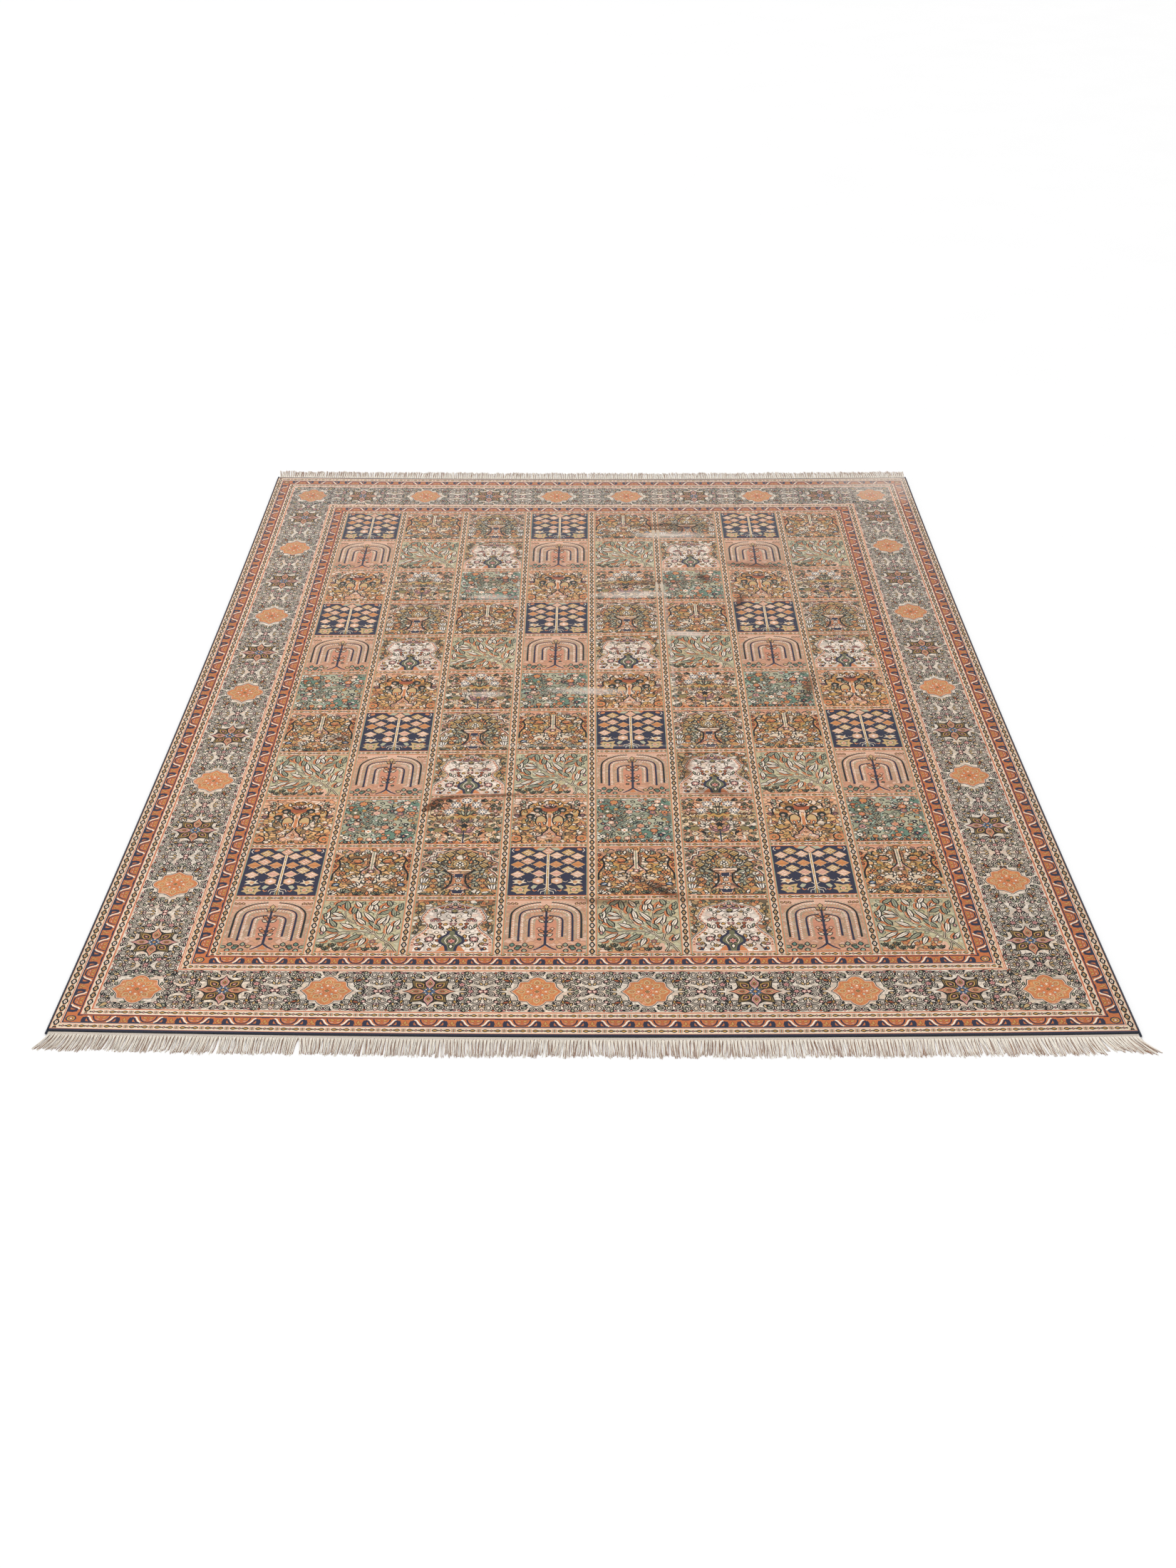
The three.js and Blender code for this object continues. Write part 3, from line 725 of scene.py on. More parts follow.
def five_rosettes(card):
    ground(card, "parchment")
    card.area(((-73.5, 83), (73.5, 83), (73.5, 76), (30, 80), (-30, 80), (-73.5, 76)), "peach")
    card.area(curved([(-73, 10), (-40, 16), (0, 24), (40, 16), (73, 10), (60, 4), (0, 10), (-60, 4),
                      (-73, 10)]),
              "straw")
    card.area(curved([(-20, 18), (0, 26), (20, 18), (16, 12), (0, 9), (-16, 12), (-20, 18)]), "gold")
    card.area(((-73.5, -83), (73.5, -83), (73.5, -78), (0, -72), (-73.5, -78)), "orange")
    for x, y, r in ((-46, -42, 18), (0, -30, 24), (46, -42, 18), (-50, 60, 20), (50, 60, 20)):
        card.at(x, y).area(ring(r, 7), "dawn")
    for side in card.both():
        ground_cover(side, ("blush", "gold", "moss", "orange"), 3, -82, PANEL_X, PANEL_Y, 15)
        for turn in (62, 78, 94, 110):
            leaf(side.at(36 + 0.2 * (turn - 90), 70, turn), 11, 4, "moss", "ink")
        leaf(side.at(50, 74, 30), 12, 5, "sage")
        leaf(side.at(62, 76, -10), 9, 4, "blush")
        for x, y, turn in ((48, 52, 30), (54, 56, 80), (60, 52, 120), (52, 48, -60), (66, 60, 90),
                           (68, 40, 110)):
            leaf(side.at(x, y, turn), 9, 4.4, "moss", "ink")
        blossom(side.at(59, 37), 6, "pink", "brown", "ivory", 5)
        blossom(side.at(50, 36), 4, "rust", "brown", None, 5)
        for x, y in ((44, 22), (52, 20), (60, 18), (66, 22)):
            bead(side.at(x, y), 3.0, 3.8, "rust", "ink")
        leaf(side.at(3, 22, 48), 22, 6.4, "moss", vein="ivory")
        leaf(side.at(3, 22, 72), 18, 4.4, "pale_sage")
        side.line([(1.2, 22), (4.5, 62)], 2.2, "slate")
        side.line([(10, 24), (26, 34)], 2.0, "slate")
        side.line(curved([(16, 8), (30, 12), (50, 8), (66, -8)]), 1.4, "olive")
        # bushes
        for turn in (20, 50, 80, 110, 140, 170):
            leaf(side.at(50, -4, turn), 13, 4.0, "sage", "brown")
        for turn in (50, 75, 100, 125):
            leaf(side.at(27, -22, turn), 17, 4.6, "ivory", vein="brown")
        for turn in (60, 90, 120):
            leaf(side.at(68, -12, turn), 10, 3, "straw")
        blossom(side.at(32, 6), 5, "gold", "brown", "rust", 5)
        # birds at the sides and tulips
        side.area(((38, -30), (48, -24), (58, -28), (62, -36), (54, -42), (44, -40)), "olive")
        for turn in (10, -12, -34):
            leaf(side.at(58, -30, turn), 14, 3.6, "deep_teal", "ink")
        side.line([(40, -27), (47, -23), (52, -27)], 2.6, "slate")
        leaf(side.at(3, -42, 58), 20, 6, "pink")
        leaf(side.at(3, -44, 30), 18, 6, "mauve")
        leaf(side.at(16, -32, 80), 12, 5, "pink")
        leaf(side.at(2, -78, 58), 22, 6.4, "gold", "ivory", rim=1.2, vein="slate")
        side.line(curved([(3, -74), (16, -66), (30, -63)]), 2.8, "slate")
        blossom(side.at(37, -40), 7.5, "orange", "slate", "gold", 6)
        leaf(side.at(30, -52, 60), 13, 4, "slate", "ink")
        blossom(side.at(50, -52), 7.6, "cream", "ink", "gold", 8, 0.82)
        side.line([(50, -60), (52, -82)], 2.0, "orange")
        blossom(side.at(38, -68), 7.2, "blush", "ink", "orange", 8, 0.82)
        for turn in (45, 75, 105, 135):
            leaf(side.at(63, -82, turn), 15, 4.2, "moss", "ink", vein="ivory")
        leaf(side.at(20, -80, 30), 10, 4, "pink")
        leaf(side.at(28, -82, 80), 9, 3.6, "sage")
        white_rosette(side.at(20.5, 59), 11)
        white_rosette(side.at(33.5, 34.5), 10.6)
    white_rosette(card.at(0, 75), 11.4)
    card.line([(0, -36), (0, -82)], 3.0, "navy")
    blossom(card.at(0, -31), 8, "gold", "slate", "orange", 5)
    for turn in (35, 65, 90, 115, 145):
        leaf(card.at(0, -22, turn), 10 if turn != 90 else 13, 3.6, "slate", "ink")
    for side in card.both():
        leaf(side.at(1, -4, 66), 18, 3.2, "moss")
        leaf(side.at(6, -4, 30), 14, 3.2, "mauve")


FAN_FRAME = ((0, 82), (20, 77), (33, 70), (46, 66), (47, 54), (58, 50), (61, 38), (73, 30), (73, 22), (57, 8),
             (66, -4), (73.4, -18))


def dotted_fan(card, radius):
    """A round leafy cluster with gold seeds, on a dark stem that comes from below."""
    card.area(ring(radius, 9), "slate")
    for x, y in ((0, 0.62), (-0.33, 0.34), (0.33, 0.34), (0, 0.04), (-0.62, 0.04), (0.62, 0.04),
                 (-0.33, -0.26), (0.33, -0.26), (0, -0.56)):
        lozenge(card.at(x * radius, y * radius), 0.24 * radius, 0.28 * radius, "straw" if y > 0 else "gold",
                "ink", rim=1.0)


def fan_bouquet(card):
    ground(card, "dawn")
    for side in card.both():
        side.area([(0, -83), (0, 82), *curved(FAN_FRAME)[1:], (73.4, -83)], "thicket")
    card.area(curved([(-52, 20), (-40, 54), (0, 78), (40, 54), (52, 20), (30, -10), (0, -16), (-30, -10),
                      (-52, 20)]),
              "thicket")
    for side in card.both():
        ground_cover(side, ("straw", "orange", "ivory", "gold"), 4, -82, PANEL_X, 52, 16, "slate")
        ground_cover(side, ("ivory", "pink", "teal"), 40, 50, PANEL_X, PANEL_Y, 15)
    for side in card.both():
        path = curved(FAN_FRAME)
        side.line([(x + 2.0, y + 1.4) for x, y in path], 1.6, "ivory")
        side.line(path, 2.2, "slate")
        side.line([(x - 2.2, y - 2.0) for x, y in path], 1.5, "pink")
        bead(side.at(27, 78.5), 9, 3.2, "moss", "ink")
        for x, y, fill in ((46, 76, "ivory"), (56, 73, "sage"), (67, 66, "teal"), (66, 56, "navy"),
                           (60, 62, "gold"), (69, 44, "ivory"), (69, 6, "navy"), (64, 76, "pink")):
            blossom(side.at(x, y), 4.6, fill, "slate", "orange", 5)
        for x, y, turn in ((58, 60, 70), (70, 50, 100), (66, 74, 20), (64, 8, 30), (64, 6, -30)):
            leaf(side.at(x, y, turn), 8, 3.6, "moss", "ink")
        for points in ([(2, -4), (14, 8), (34, 24), (37, 38)], [(2, -2), (12, 14), (20, 34), (21, 52)],
                       [(4, -6), (24, -2), (42, 4), (46, 16)]):
            side.line(curved(points), 2.6, "slate")
        for x, y, turn in ((24, 8, 150), (30, 16, 30), (16, 20, 40), (34, 8, 0), (12, 30, 100),
                           (30, 30, 120)):
            leaf(side.at(x, y, turn), 9, 4, "pale_sage")
        for x, y, turn in ((19.5, 26, 80), (6.5, 38, 50), (12, 40, 90)):
            leaf(side.at(x, y, turn), 13, 5.4, "orange")
        for x, y, r in ((38, 42, 10.6), (21.5, 58, 10.6), (46, 20, 10)):
            dotted_fan(side.at(x, y), r)
        side.line(curved([(0, 40), (12, 36), (16, 24), (12, 12)]), 1.8, "gold")
        # leaf scrolls and flowers under the bowl
        for x, y, turn, size in ((24, -8, 30, 17), (24, -14, -10, 15), (40, -8, 60, 14), (26, -34, 50, 15),
                                 (24, -40, 10, 14), (44, -16, -40, 13), (34, -26, 80, 12),
                                 (36, -52, 100, 13)):
            leaf(side.at(x, y, turn), size, 5.6, "pale_sage", vein="slate")
        hook(side.at(30, -22, 0), 6, "slate", 1.8, 260, "straw")
        hook(side.at(30, -56, 20), 5.4, "slate", 1.8, 260, "sage")
        for x, y in ((46, -32), (47, -50)):
            blossom(side.at(x, y), 8, "orange", "slate", "gold", 6)
        for x, y, turn in ((66, -40, 100), (66, -64, 100)):
            for step in (-1, 0, 1):
                leaf(side.at(x + 2.6 * step, y, turn - 12 * step), 19, 3.6, "white", "ink")
        leaf(side.at(44, -66, 8), 20, 5, "gold", "orange")
        leaf(side.at(36, -78, 60), 14, 5, "ivory")
        leaf(side.at(26, -80, 100), 12, 4.4, "moss")
        leaf(side.at(48, -80, 20), 12, 4, "sage")
        leaf(side.at(66, -78, 160), 10, 4, "moss")
        leaf(side.at(10, -82, 60), 10, 4.2, "orange")
    # bowl, neck, waist and foot
    for side in card.both():
        side.area([(0, 6), (24, 6), (22, -3), (11, -8), (9, -21), (11, -24), (11, -40), (16, -50),
                   (25, -62), (0, -62)],
                  "dawn")
        side.line(curved([(30, 3), (21, -5), (13.5, -14), (13, -24), (13.6, -38), (19, -50), (28, -64)]),
                  3.6, "ink")
        side.area(((8, -46), (14, -47), (24, -60), (19, -60)), "navy")
        side.line([(2, 2.4), (22, 2.4)], 2.2, "ivory")
        side.line([(1, -2.6), (21, -2.6)], 1.6, "slate")
        side.line([(9.6, -9), (9.6, -44), (20, -60)], 1.6, "rust")
        leaf(side.at(2, -24, 40), 9, 4, "ivory", "ink")
        leaf(side.at(2, -44, -40), 9, 4, "ivory", "ink")
        side.line([(6, -24), (8, -42)], 2.2, "orange")
    card.area(((-8, -9), (8, -9), (7, -21), (-7, -21)), "navy")
    card.area(((-13, -60), (13, -60), (9, -78), (-9, -78)), "blush")
    card.area(((-12, -64), (12, -64), (8, -76), (-8, -76)), "navy")
    blossom(card.at(0, -60), 8, "ivory", "slate", "orange", 6)
    blossom(card.at(0, -32), 7, "ivory", "ink", "mauve", 5)
    dotted_fan(card.at(0, 68), 11)
    blossom(card.at(0, 25), 14, "straw", "slate", None, 8, 0.9)
    for x, y in ((0, 32), (-4.5, 27), (4.5, 27), (0, 22), (-6, 20), (6, 20), (0, 14)):
        lozenge(card.at(x, y), 2.4, 3.4, "ivory", "slate")


tell(five_rosettes, fan_bouquet)

# %% [markdown]
# The last garden is a golden one, with two birds beside a stem, dark shouldered sides, and fans of
# leaves at its foot. Then the gardens get letters, and a table says which one each panel shows. They
# come in runs of three, and every third row of panels has the same three.

# %% Bird garden
def bird(card, body, size):
    """A small round bird: body, curled tail, striped wing and a pale eye."""
    b = card.at(0, 0, 0, size)
    b.area(((-10, -2), (-5, 6), (4, 8), (10, 3), (8, -5), (0, -8), (-7, -7)), "ink")
    b.area(((-8, -2), (-4, 4.6), (4, 6.4), (8, 2.6), (6, -4), (0, -6.4), (-6, -5.4)), body)
    b.line([(-4, -2), (1, 3), (4, -3)], 1.6, "ivory")
    hook(b.at(-9, -1, 160), 4.4, "ink", 2.0, 220)
    hook(b.at(8, 3, 50), 3.4, "ink", 1.8, 200, "ivory")


def bird_garden(card):
    ground(card, "stubble")
    for side in card.both():
        side.area([(10, 83), (14, 66), (44, 62), (60, 52), (66, 36), (64, 8), (73.5, -12), (73.5, 83)],
                  "dawn")
        side.area([(62, 50), (66, 40), (62, 22), (66, 6), (73.5, -14), (73.5, 54)], "orange")
        side.area([(12, 54), (34, 58), (50, 44), (50, 14), (36, 4), (20, 12)], "honey")
        side.area([(26, 22), (44, 24), (48, 8), (36, -2), (26, 6)], "gold")
        side.area([(10, -14), (30, -12), (40, -24), (30, -36), (10, -34)], "cream")
        side.area(((30, 83), (36, 70), (56, 66), (62, 83)), "peach")
        ground_cover(side, ("gold", "cream", "orange", "sage"), 4, -82, PANEL_X, PANEL_Y, 16, "slate")
        side.line([(5.6, 66), (5.6, 12)], 2.0, "ink")
        side.line([(9.4, 62), (9.4, 18)], 1.8, "brown")
        side.line([(2.4, 70), (2.4, 8)], 1.4, "ivory")
        side.line(curved([(5, 20), (12, 8), (18, 2), (20, -9), (11, -15)]), 3.2, "ink")
        side.line(curved([(3, 18), (10, 6), (15, 1), (16, -8)]), 2.0, "pink")
        side.line([(20, -8), (30, -9), (37, -14)], 2.6, "slate")
        side.line(curved([(57, 54), (64.4, 42), (60.5, 24), (64.4, 8), (71, -8), (71.8, -32)]), 3.8, "ink")
        side.line(curved([(44, 62), (49, 58), (50, 46)]), 4.2, "ink", tip=0.5)
        side.line([(40, 34), (45, 29), (49, 34), (54, 28), (58, 34)], 3.0, "ink")
        bird(side.at(24, 16), "gold", 0.7)
        for x, y, turn in ((70, 50, 80), (70, 32, 95), (70, 14, 80)):
            leaf(side.at(x, y, turn), 11, 4.4, "rust", "ink")
        for x, y, r, fill, heart in ((66, 74, 6.4, "ivory", "pink"), (54, 75, 5.6, "sage", "orange"),
                                     (14, 74, 6, "ivory", "navy"), (32, 72, 6, "pink", "slate"),
                                     (45, 2, 7, "gold", "orange"), (53, -6, 8, "orange", "ink"),
                                     (46, -30, 8, "orange", "ink"), (58, -22, 6, "ivory", "pink"),
                                     (16, -66, 7, "orange", "gold"), (26, -42, 6, "orange", "ivory")):
            blossom(side.at(x, y), r, fill, "ink", heart, 6)
        side.area([(20, 38), (26, 43), (36, 42), (38, 36), (30, 32), (22, 33)], "straw")
        side.line(curved([(37, 45), (29, 47), (20, 42), (18, 35), (24, 29), (34, 29)]), 3.4, "ink")
        leaf(side.at(22, 34, 18), 15, 7, "orange", "rust")
        side.line([(36, 44), (40, 38), (37, 33)], 2.6, "ink")
        for x, y, turn, length in ((38, 60, 130, 13), (30, 56, 70, 12), (22, 58, 100, 13), (44, 24, 30, 11),
                                   (36, 12, 10, 12), (60, -34, 60, 11), (66, -52, 100, 12), (34, -24, 20, 11),
                                   (14, -24, 80, 12), (26, -20, 40, 11), (8, -40, 60, 12), (56, 4, 80, 11)):
            leaf(side.at(x, y, turn), length, 5.2, "sage" if turn % 20 else "ivory", "ink")
        bead(side.at(61, -45.5), 8.5, 6.5, "blue", "ink")
        side.line([(57, -43), (65, -48)], 1.6, "ivory")
        for k in range(4):
            leaf(side.at(17 + 4 * k, -48 - 3 * k, 60 - 14 * k), 14, 3.4, "ivory", "ink")
        # fans of leaves at the foot
        for x, y, spread, fill in ((43, -74, 5, "sage"), (66, -80, 4, "ivory"), (17, -82, 4, "moss")):
            for k in range(spread):
                leaf(side.at(x, y, 90 + 30 * (k - (spread - 1) / 2)), 15, 4.6, fill, "ink")
    card.line([(0, 72), (0, 4)], 2.2, "sage")
    blossom(card.at(0, 0), 7, "pink", "ink", "ivory", 6)
    blossom(card.at(0, 76), 6.4, "orange", "ink", "gold", 5)
    for turn in (50, 90, 130):
        leaf(card.at(0, -32, turn), 14, 5, "orange", "ink")
    blossom(card.at(0, -36), 8.4, "blush", "ink", "orange", 6)
    leaf(card.at(0, -82, 90), 15, 6, "orange", "ink")


GARDENS = {"A": lozenge_tree, "B": weeping_tree, "C": lance_leaves, "D": arched_vase, "E": looped_tree,
           "F": fan_bouquet, "G": flowering_slope, "H": five_rosettes, "I": bird_garden}
# One row for each row of panels, from the far end of the rug to the near end.
GARDEN_ROWS = ("AIFAIFAI", "BCDBCDBC", "EHGEHGEH", "AFIAFIAF", "BDCBDCBD", "GEHGEHGE", "IAFIAFIA",
               "CBDCBDCB", "EGHEGHEG", "AIFAIFAI", "BCDBCDBC")
tell(bird_garden)
print(len(GARDENS), "gardens in", len(GARDEN_ROWS), "rows")

# %% [markdown]
# ## Chains of beads
#
# Narrow chains of outlined gold beads part the panels and line the borders. Along the rug the beads are
# long ovals linked by a small cross. Across the rug they come in pairs, with nested upright bars
# between one pair and the next. There are thousands of them and each is a few knots across, so faces
# for them would be too many. The card lays only the ground of a chain, under a yarn name of its own,
# and the silk finish draws the beads from each point's place along the chain.

# %% Chains
BEADS_PER_ROW, PAIRS_PER_COLUMN = 9, 4
BEAD_PITCH = ROW_PITCH / BEADS_PER_ROW
PAIR_PITCH = COLUMN_PITCH / PAIRS_PER_COLUMN


def panel_tile(card, garden):
    """One panel with the half of each divider round it, as wide and long as one pitch of the grid."""
    half_x, half_y = COLUMN_PITCH / 2, ROW_PITCH / 2
    GARDENS[garden](card)
    for top in (card, card.at(turn=180)):
        for inset, yarn in ((8.6, "rust"), (7.4, "orange"), (5.8, "peach"), (4.8, "beads across")):
            top.area(box_points(-half_x, half_y - inset, half_x, half_y), yarn)
    for side in card.both():
        for inset, yarn in ((10.5, "sage"), (8.6, "orange"), (7.2, "peach"), (5.9, "beads along")):
            side.area(box_points(half_x - inset, -half_y, half_x, half_y), yarn)


print("a bead every", round(BEAD_PITCH, 1), "mm along the rug, a pair every", PAIR_PITCH, "mm across")

# %% [markdown]
# ## The borders
#
# The frame is a set of nested rectangles, from the outer edge inwards: a chain, a rust guard, a chain,
# the wide ivory border, and the same again the other way round. Each rectangle covers the middle of
# the one before, so the corners close by themselves, and the motifs follow on top. On the guards
# lie dark boats, each drawn as one half and its mirror image, with a small fan between two of them.

# %% Nested grounds and guards
# How far in from the outer edge each band starts, in mm, and its yarn.
FRAME_BANDS = ((0, "navy"), (4, "peach"), (6, "beads across"), (19, "coral"), (20.6, "ivory"), (21.4, "navy"),
               (23.8, "amber"), (43.8, "navy"), (46.0, "coral"), (47.8, "ivory"), (48.8, "beads across"),
               (60.5, "ivory"), (61.5, "coral"), (63.4, "peach"), (65.0, "snow"), (184.0, "coral"),
               (185.8, "ivory"), (186.8, "orange"), (188.5, "beads across"), (201, "coral"), (202.8, "ivory"),
               (203.6, "navy"), (205.8, "amber"), (225.8, "navy"), (227.8, "coral"), (230, "beads across"))
CHAINS = (12.5, 54.8, 194.8, 235.5)
CHAIN_BANDS = ((6, 19), (48.8, 60.5), (188.5, 201), (230, 241.4))
GUARDS = (34.0, 215.8)
MAIN_BORDER = 124.5


def guard_wave(card, stretch):
    """Half of a boat on a guard: a thin hull, an ivory horn edged with navy and the navy head it holds."""
    for points, width, yarn in (([(0, -7.6), (6, -7), (10, -3.4), (13, 2), (14.6, 8.8)], 2.8, "navy"),
                                ([(12, -10.4), (18.4, -7.4), (21.6, -1.6), (23.6, 3.8), (28, 5)], 3.4,
                                 "navy"),
                                ([(11, -8.4), (14.8, -5.4), (17.6, -0.6), (19.8, 4.6), (24, 8)], 2.9,
                                 "ivory"),
                                ([(27.4, 4.4), (29.4, -2), (28.4, -10)], 7.4, "navy"),
                                ([(33, 9.6), (42, 9.6)], 2.0, "navy")):
        card.line([(x * stretch, y) for x, y in points], width, yarn)
    card.area([(x * stretch, y) for x, y in ((16, -10.8), (31, -10.8), (31, -8), (22, -7))], "navy")
    leaf(card.at(1, 2.2, 35), 10, 4.6, "gold", "rust", rim=1.1)
    leaf(card.at(1, -1.8, 8), 9, 3.4, "peach", "rust", rim=1.0)


def guard_fan(card):
    """The rust and gold fan between two boats."""
    for turn in (40, 90, 140):
        leaf(card.at(0, -8, turn), 14 if turn == 90 else 8, 4.2, "gold", "rust", rim=1.3)


print(len(FRAME_BANDS), "nested bands, the innermost", FRAME_BANDS[-1][0], "mm in from the edge")

# %% [markdown]
# Two medallions take turns along the ivory border. One is an eight-lobed orange round. The other is a
# flower on a dark star of sixteen points, with four pink points, four bronze leaves between them and a
# blue heart. Round them and between them run scrolls: a thick ink line that rolls up, with a thin ivory
# line on it. One quarter of the scrollwork is drawn, and the other three are its mirror images.

# %% Medallions and scrollwork
LOBES = ((1, 0), (0.85, 0.17), (0.74, 0.34), (0.72, 0.50), (0.68, 0.64), (0.52, 0.67), (0.36, 0.67),
         (0.28, 0.83), (0.15, 0.95), (0, 1))


def orange_medallion(card, half_x, half_y):
    outline = []
    for sign_x, sign_y, points in ((1, 1, LOBES), (-1, 1, LOBES[-2::-1]), (-1, -1, LOBES[1:]),
                                   (1, -1, LOBES[-2:0:-1])):
        outline += [(sign_x * x, sign_y * y) for x, y in points]
    for grow, yarn in ((3.6, "slate"), (1.4, "ivory"), (0.2, "coral"), (-1.4, "apricot"), (-3.6, "coral"),
                       (-5.0, "apricot")):
        card.area([(x * (half_x + grow), y * (half_y + grow)) for x, y in outline], yarn)
    for k in range(8):
        petal = card.at(0, 0, 45 * k)
        reach = (half_x if k % 4 == 0 else half_y if k % 4 == 2 else 0.86 * half_x)
        leaf(petal.at(0.42 * reach, 0), 0.44 * reach, 13.5, "straw", "coral", rim=1.3, vein="gold")
        leaf(petal.at(0.52 * reach, 0), 0.2 * reach, 5.5, "apricot", "rust", rim=0.9)
        blossom(petal.at(0.36 * reach, 0), 4.6, "teal" if k % 2 else "cream", "coral", "ivory", 5)
        twig = petal.at(0, 0, 22.5)
        twig.line([(0.2 * reach, 0), (0.56 * reach, 0)], 1.8, "coral")
        lozenge(twig.at(0.62 * reach, 0), 3, 2.6, "straw", "coral", rim=1.0)
    blossom(card, 8.5, "apricot", "coral", None, 8)
    blossom(card, 4.6, "gold", "ink", "navy", 4)


def mauve_medallion(card, half_x, half_y):
    for reach, yarn in ((39.0, "ink"), (36.0, "bronze"), (29.0, "brown")):
        rays = [(reach if k % 2 == 0 else 0.84 * reach, math.radians(22.5 * k)) for k in range(16)]
        card.area([(ray * math.cos(angle), ray * math.sin(angle)) for ray, angle in rays], yarn)
    for k in range(4):
        petal = card.at(0, 0, 45 + 90 * k)
        leaf(petal.at(4, 0), 40, 20, "bronze", "ink", rim=2.6)
        leaf(petal.at(15, 0), 21, 15, "gold", "ink", rim=1.8)
        leaf(petal.at(18, 0), 14, 8, "brown", "ink", rim=1.3)
        leaf(petal.at(20, 0), 9, 4, "pink", "ink", rim=1.0)
    for k in range(4):
        petal = card.at(0, 0, 90 * k)
        reach = half_x if k % 2 == 0 else half_y
        petal.area(((6, 0), (15, 8.8), (0.62 * reach, 10.8), (0.82 * reach, 4.6), (reach + 2, 0),
                    (0.82 * reach, -4.6), (0.62 * reach, -10.8), (15, -8.8)), "ink")
        petal.area(((8, 0), (16, 6.4), (0.6 * reach, 8.2), (0.8 * reach, 2.6), (reach - 1, 0),
                    (0.8 * reach, -2.6), (0.6 * reach, -8.2), (16, -6.4)), "pink" if k % 2 else "salmon")
        leaf(petal.at(15, 0), 0.4 * reach, 8, "straw", "brown", rim=1.2)
        leaf(petal.at(18, 0), 0.22 * reach, 4.4, "rust", "slate", rim=1.0)
    for turn in range(0, 360, 45):
        leaf(card.at(0, 0, turn + 22.5), 12.5, 6, "blue", "navy", rim=1.1)
        lozenge(card.at(0, 0, turn).at(8, 0), 1.6, 1.6, "ivory")
    blossom(card, 5, "gold", "navy", "orange", 4)


SCROLL_WIDTH = 6.0
CURL = ((-11, -5), (-5, -8.6), (3, -8.6), (8.6, -4), (9, 3), (4.4, 7.4), (-2, 6.2), (-4, 0.6), (0.6, -2.4))


def curl(card, size):
    """A scroll: a thick dark line that rolls up, with a thin pale line on it."""
    path = [(size * x, size * y) for x, y in CURL]
    card.line(path, SCROLL_WIDTH, "ink", tip=0.8)
    card.line(path[1:], 0.2 * SCROLL_WIDTH, "ivory", tip=0.7)


def quarters(card):
    """The card, its mirror images across both axes, and the one turned half round."""
    upper, lower = card, card.at(turn=180, flip=True)
    return upper, upper.at(flip=True), lower, lower.at(flip=True)


# Of one quarter of a gap between two medallions: place, turn and size of each scroll, then place, turn
# and fill of each leaf, then place, radius and fill of each blossom. X runs towards the medallion.
CURLS = ((9, 48, 10, 0.86), (28, 50, 190, 0.74), (45, 49, 20, 0.70), (12, 27, 140, 0.88), (34, 33, 300, 0.80),
         (34, 11, 200, 0.76), (13, 9, 330, 0.62))
SPRIGS = ((2, 38, 80, "straw"), (20, 40, 30, "sage"), (37, 43, 100, "ivory"), (24, 20, 60, "sage"),
          (2, 18, 60, "straw"), (22, 2, 20, "sage"), (44, 21, 60, "brown"), (44, 3, 10, "brown"))
FLORETS = ((0, 54, 4.2, "pink"), (19, 55, 3.8, "rust"), (37, 54.5, 4.0, "pink"), (23, 30, 5.0, "pink"),
           (2, 38, 4.6, "mauve"), (23, 12, 4.8, "mauve"), (4, 0, 6.4, "pink"))
# The same three tables for one quarter of the collar round a medallion.
COLLAR_REACH = 50.0
COLLAR_CURLS = ((7.6, 51.6, 180, 0.56), (21, 46.5, 20, 0.70), (37, 47.5, 195, 0.74), (37, 33.5, 320, 0.74),
                (51, 43, 60, 0.66), (52, 23, 250, 0.68), (58, 6, 100, 0.44))
COLLAR_SPRIGS = ((53, 4, 25, "straw"), (27, 38, 30, "straw"), (44, 26, 70, "gold"), (46, 12, 30, "sage"),
                 (15, 46, 10, "sage"), (60, 33, 100, "straw"), (61, 50, 80, "sage"))
COLLAR_FLORETS = ((0, 54.5, 3.6, "mauve"), (29, 54.5, 3.8, "pink"), (44, 39, 4.2, "rust"),
                  (46, 54, 4.0, "mauve"))


def scatter(quarter, tables, end, spread=1.0):
    """Scrolls, leaves and blossoms of three tables on one quarter, as far as end."""
    curls, sprigs, florets = tables
    for x, y, turn, size in curls:
        if x * spread < end:
            curl(quarter.at(x * spread, y, turn), size)
    for x, y, turn, fill in sprigs:
        if x * spread < end:
            leaf(quarter.at(x * spread, y, turn), 9.6, 4.4, fill, "ink", rim=1.5)
    for x, y, radius, fill in florets:
        if x * spread < end:
            blossom(quarter.at(x * spread, y), radius, fill, "ink", "ivory", 5)


def scrollwork(card, reach):
    """The middle of one gap of the main border. reach is half the distance between two medallions."""
    for quarter in quarters(card):
        scatter(quarter, (CURLS, SPRIGS, FLORETS), reach - COLLAR_REACH, reach / 90)


def collar(card, kind):
    """The scrolls that hug one medallion. The mauve kind stands between eight pink rosettes."""
    for quarter in quarters(card):
        scatter(quarter, (COLLAR_CURLS, COLLAR_SPRIGS, COLLAR_FLORETS), 2 * COLLAR_REACH)
        if kind == "P":
            curl(quarter.at(43, 14, 20), 0.5)
            blossom(quarter.at(55, 20), 7.2, "pink", "ink", "mauve", 8)
            blossom(quarter.at(71, 0), 6.4, "pink", "ink", "mauve", 8)
            leaf(quarter.at(12, 38, 70), 10, 4, "straw", "ink")
        else:
            leaf(quarter.at(47, 30, 20), 12, 4.6, "rust", "ink")


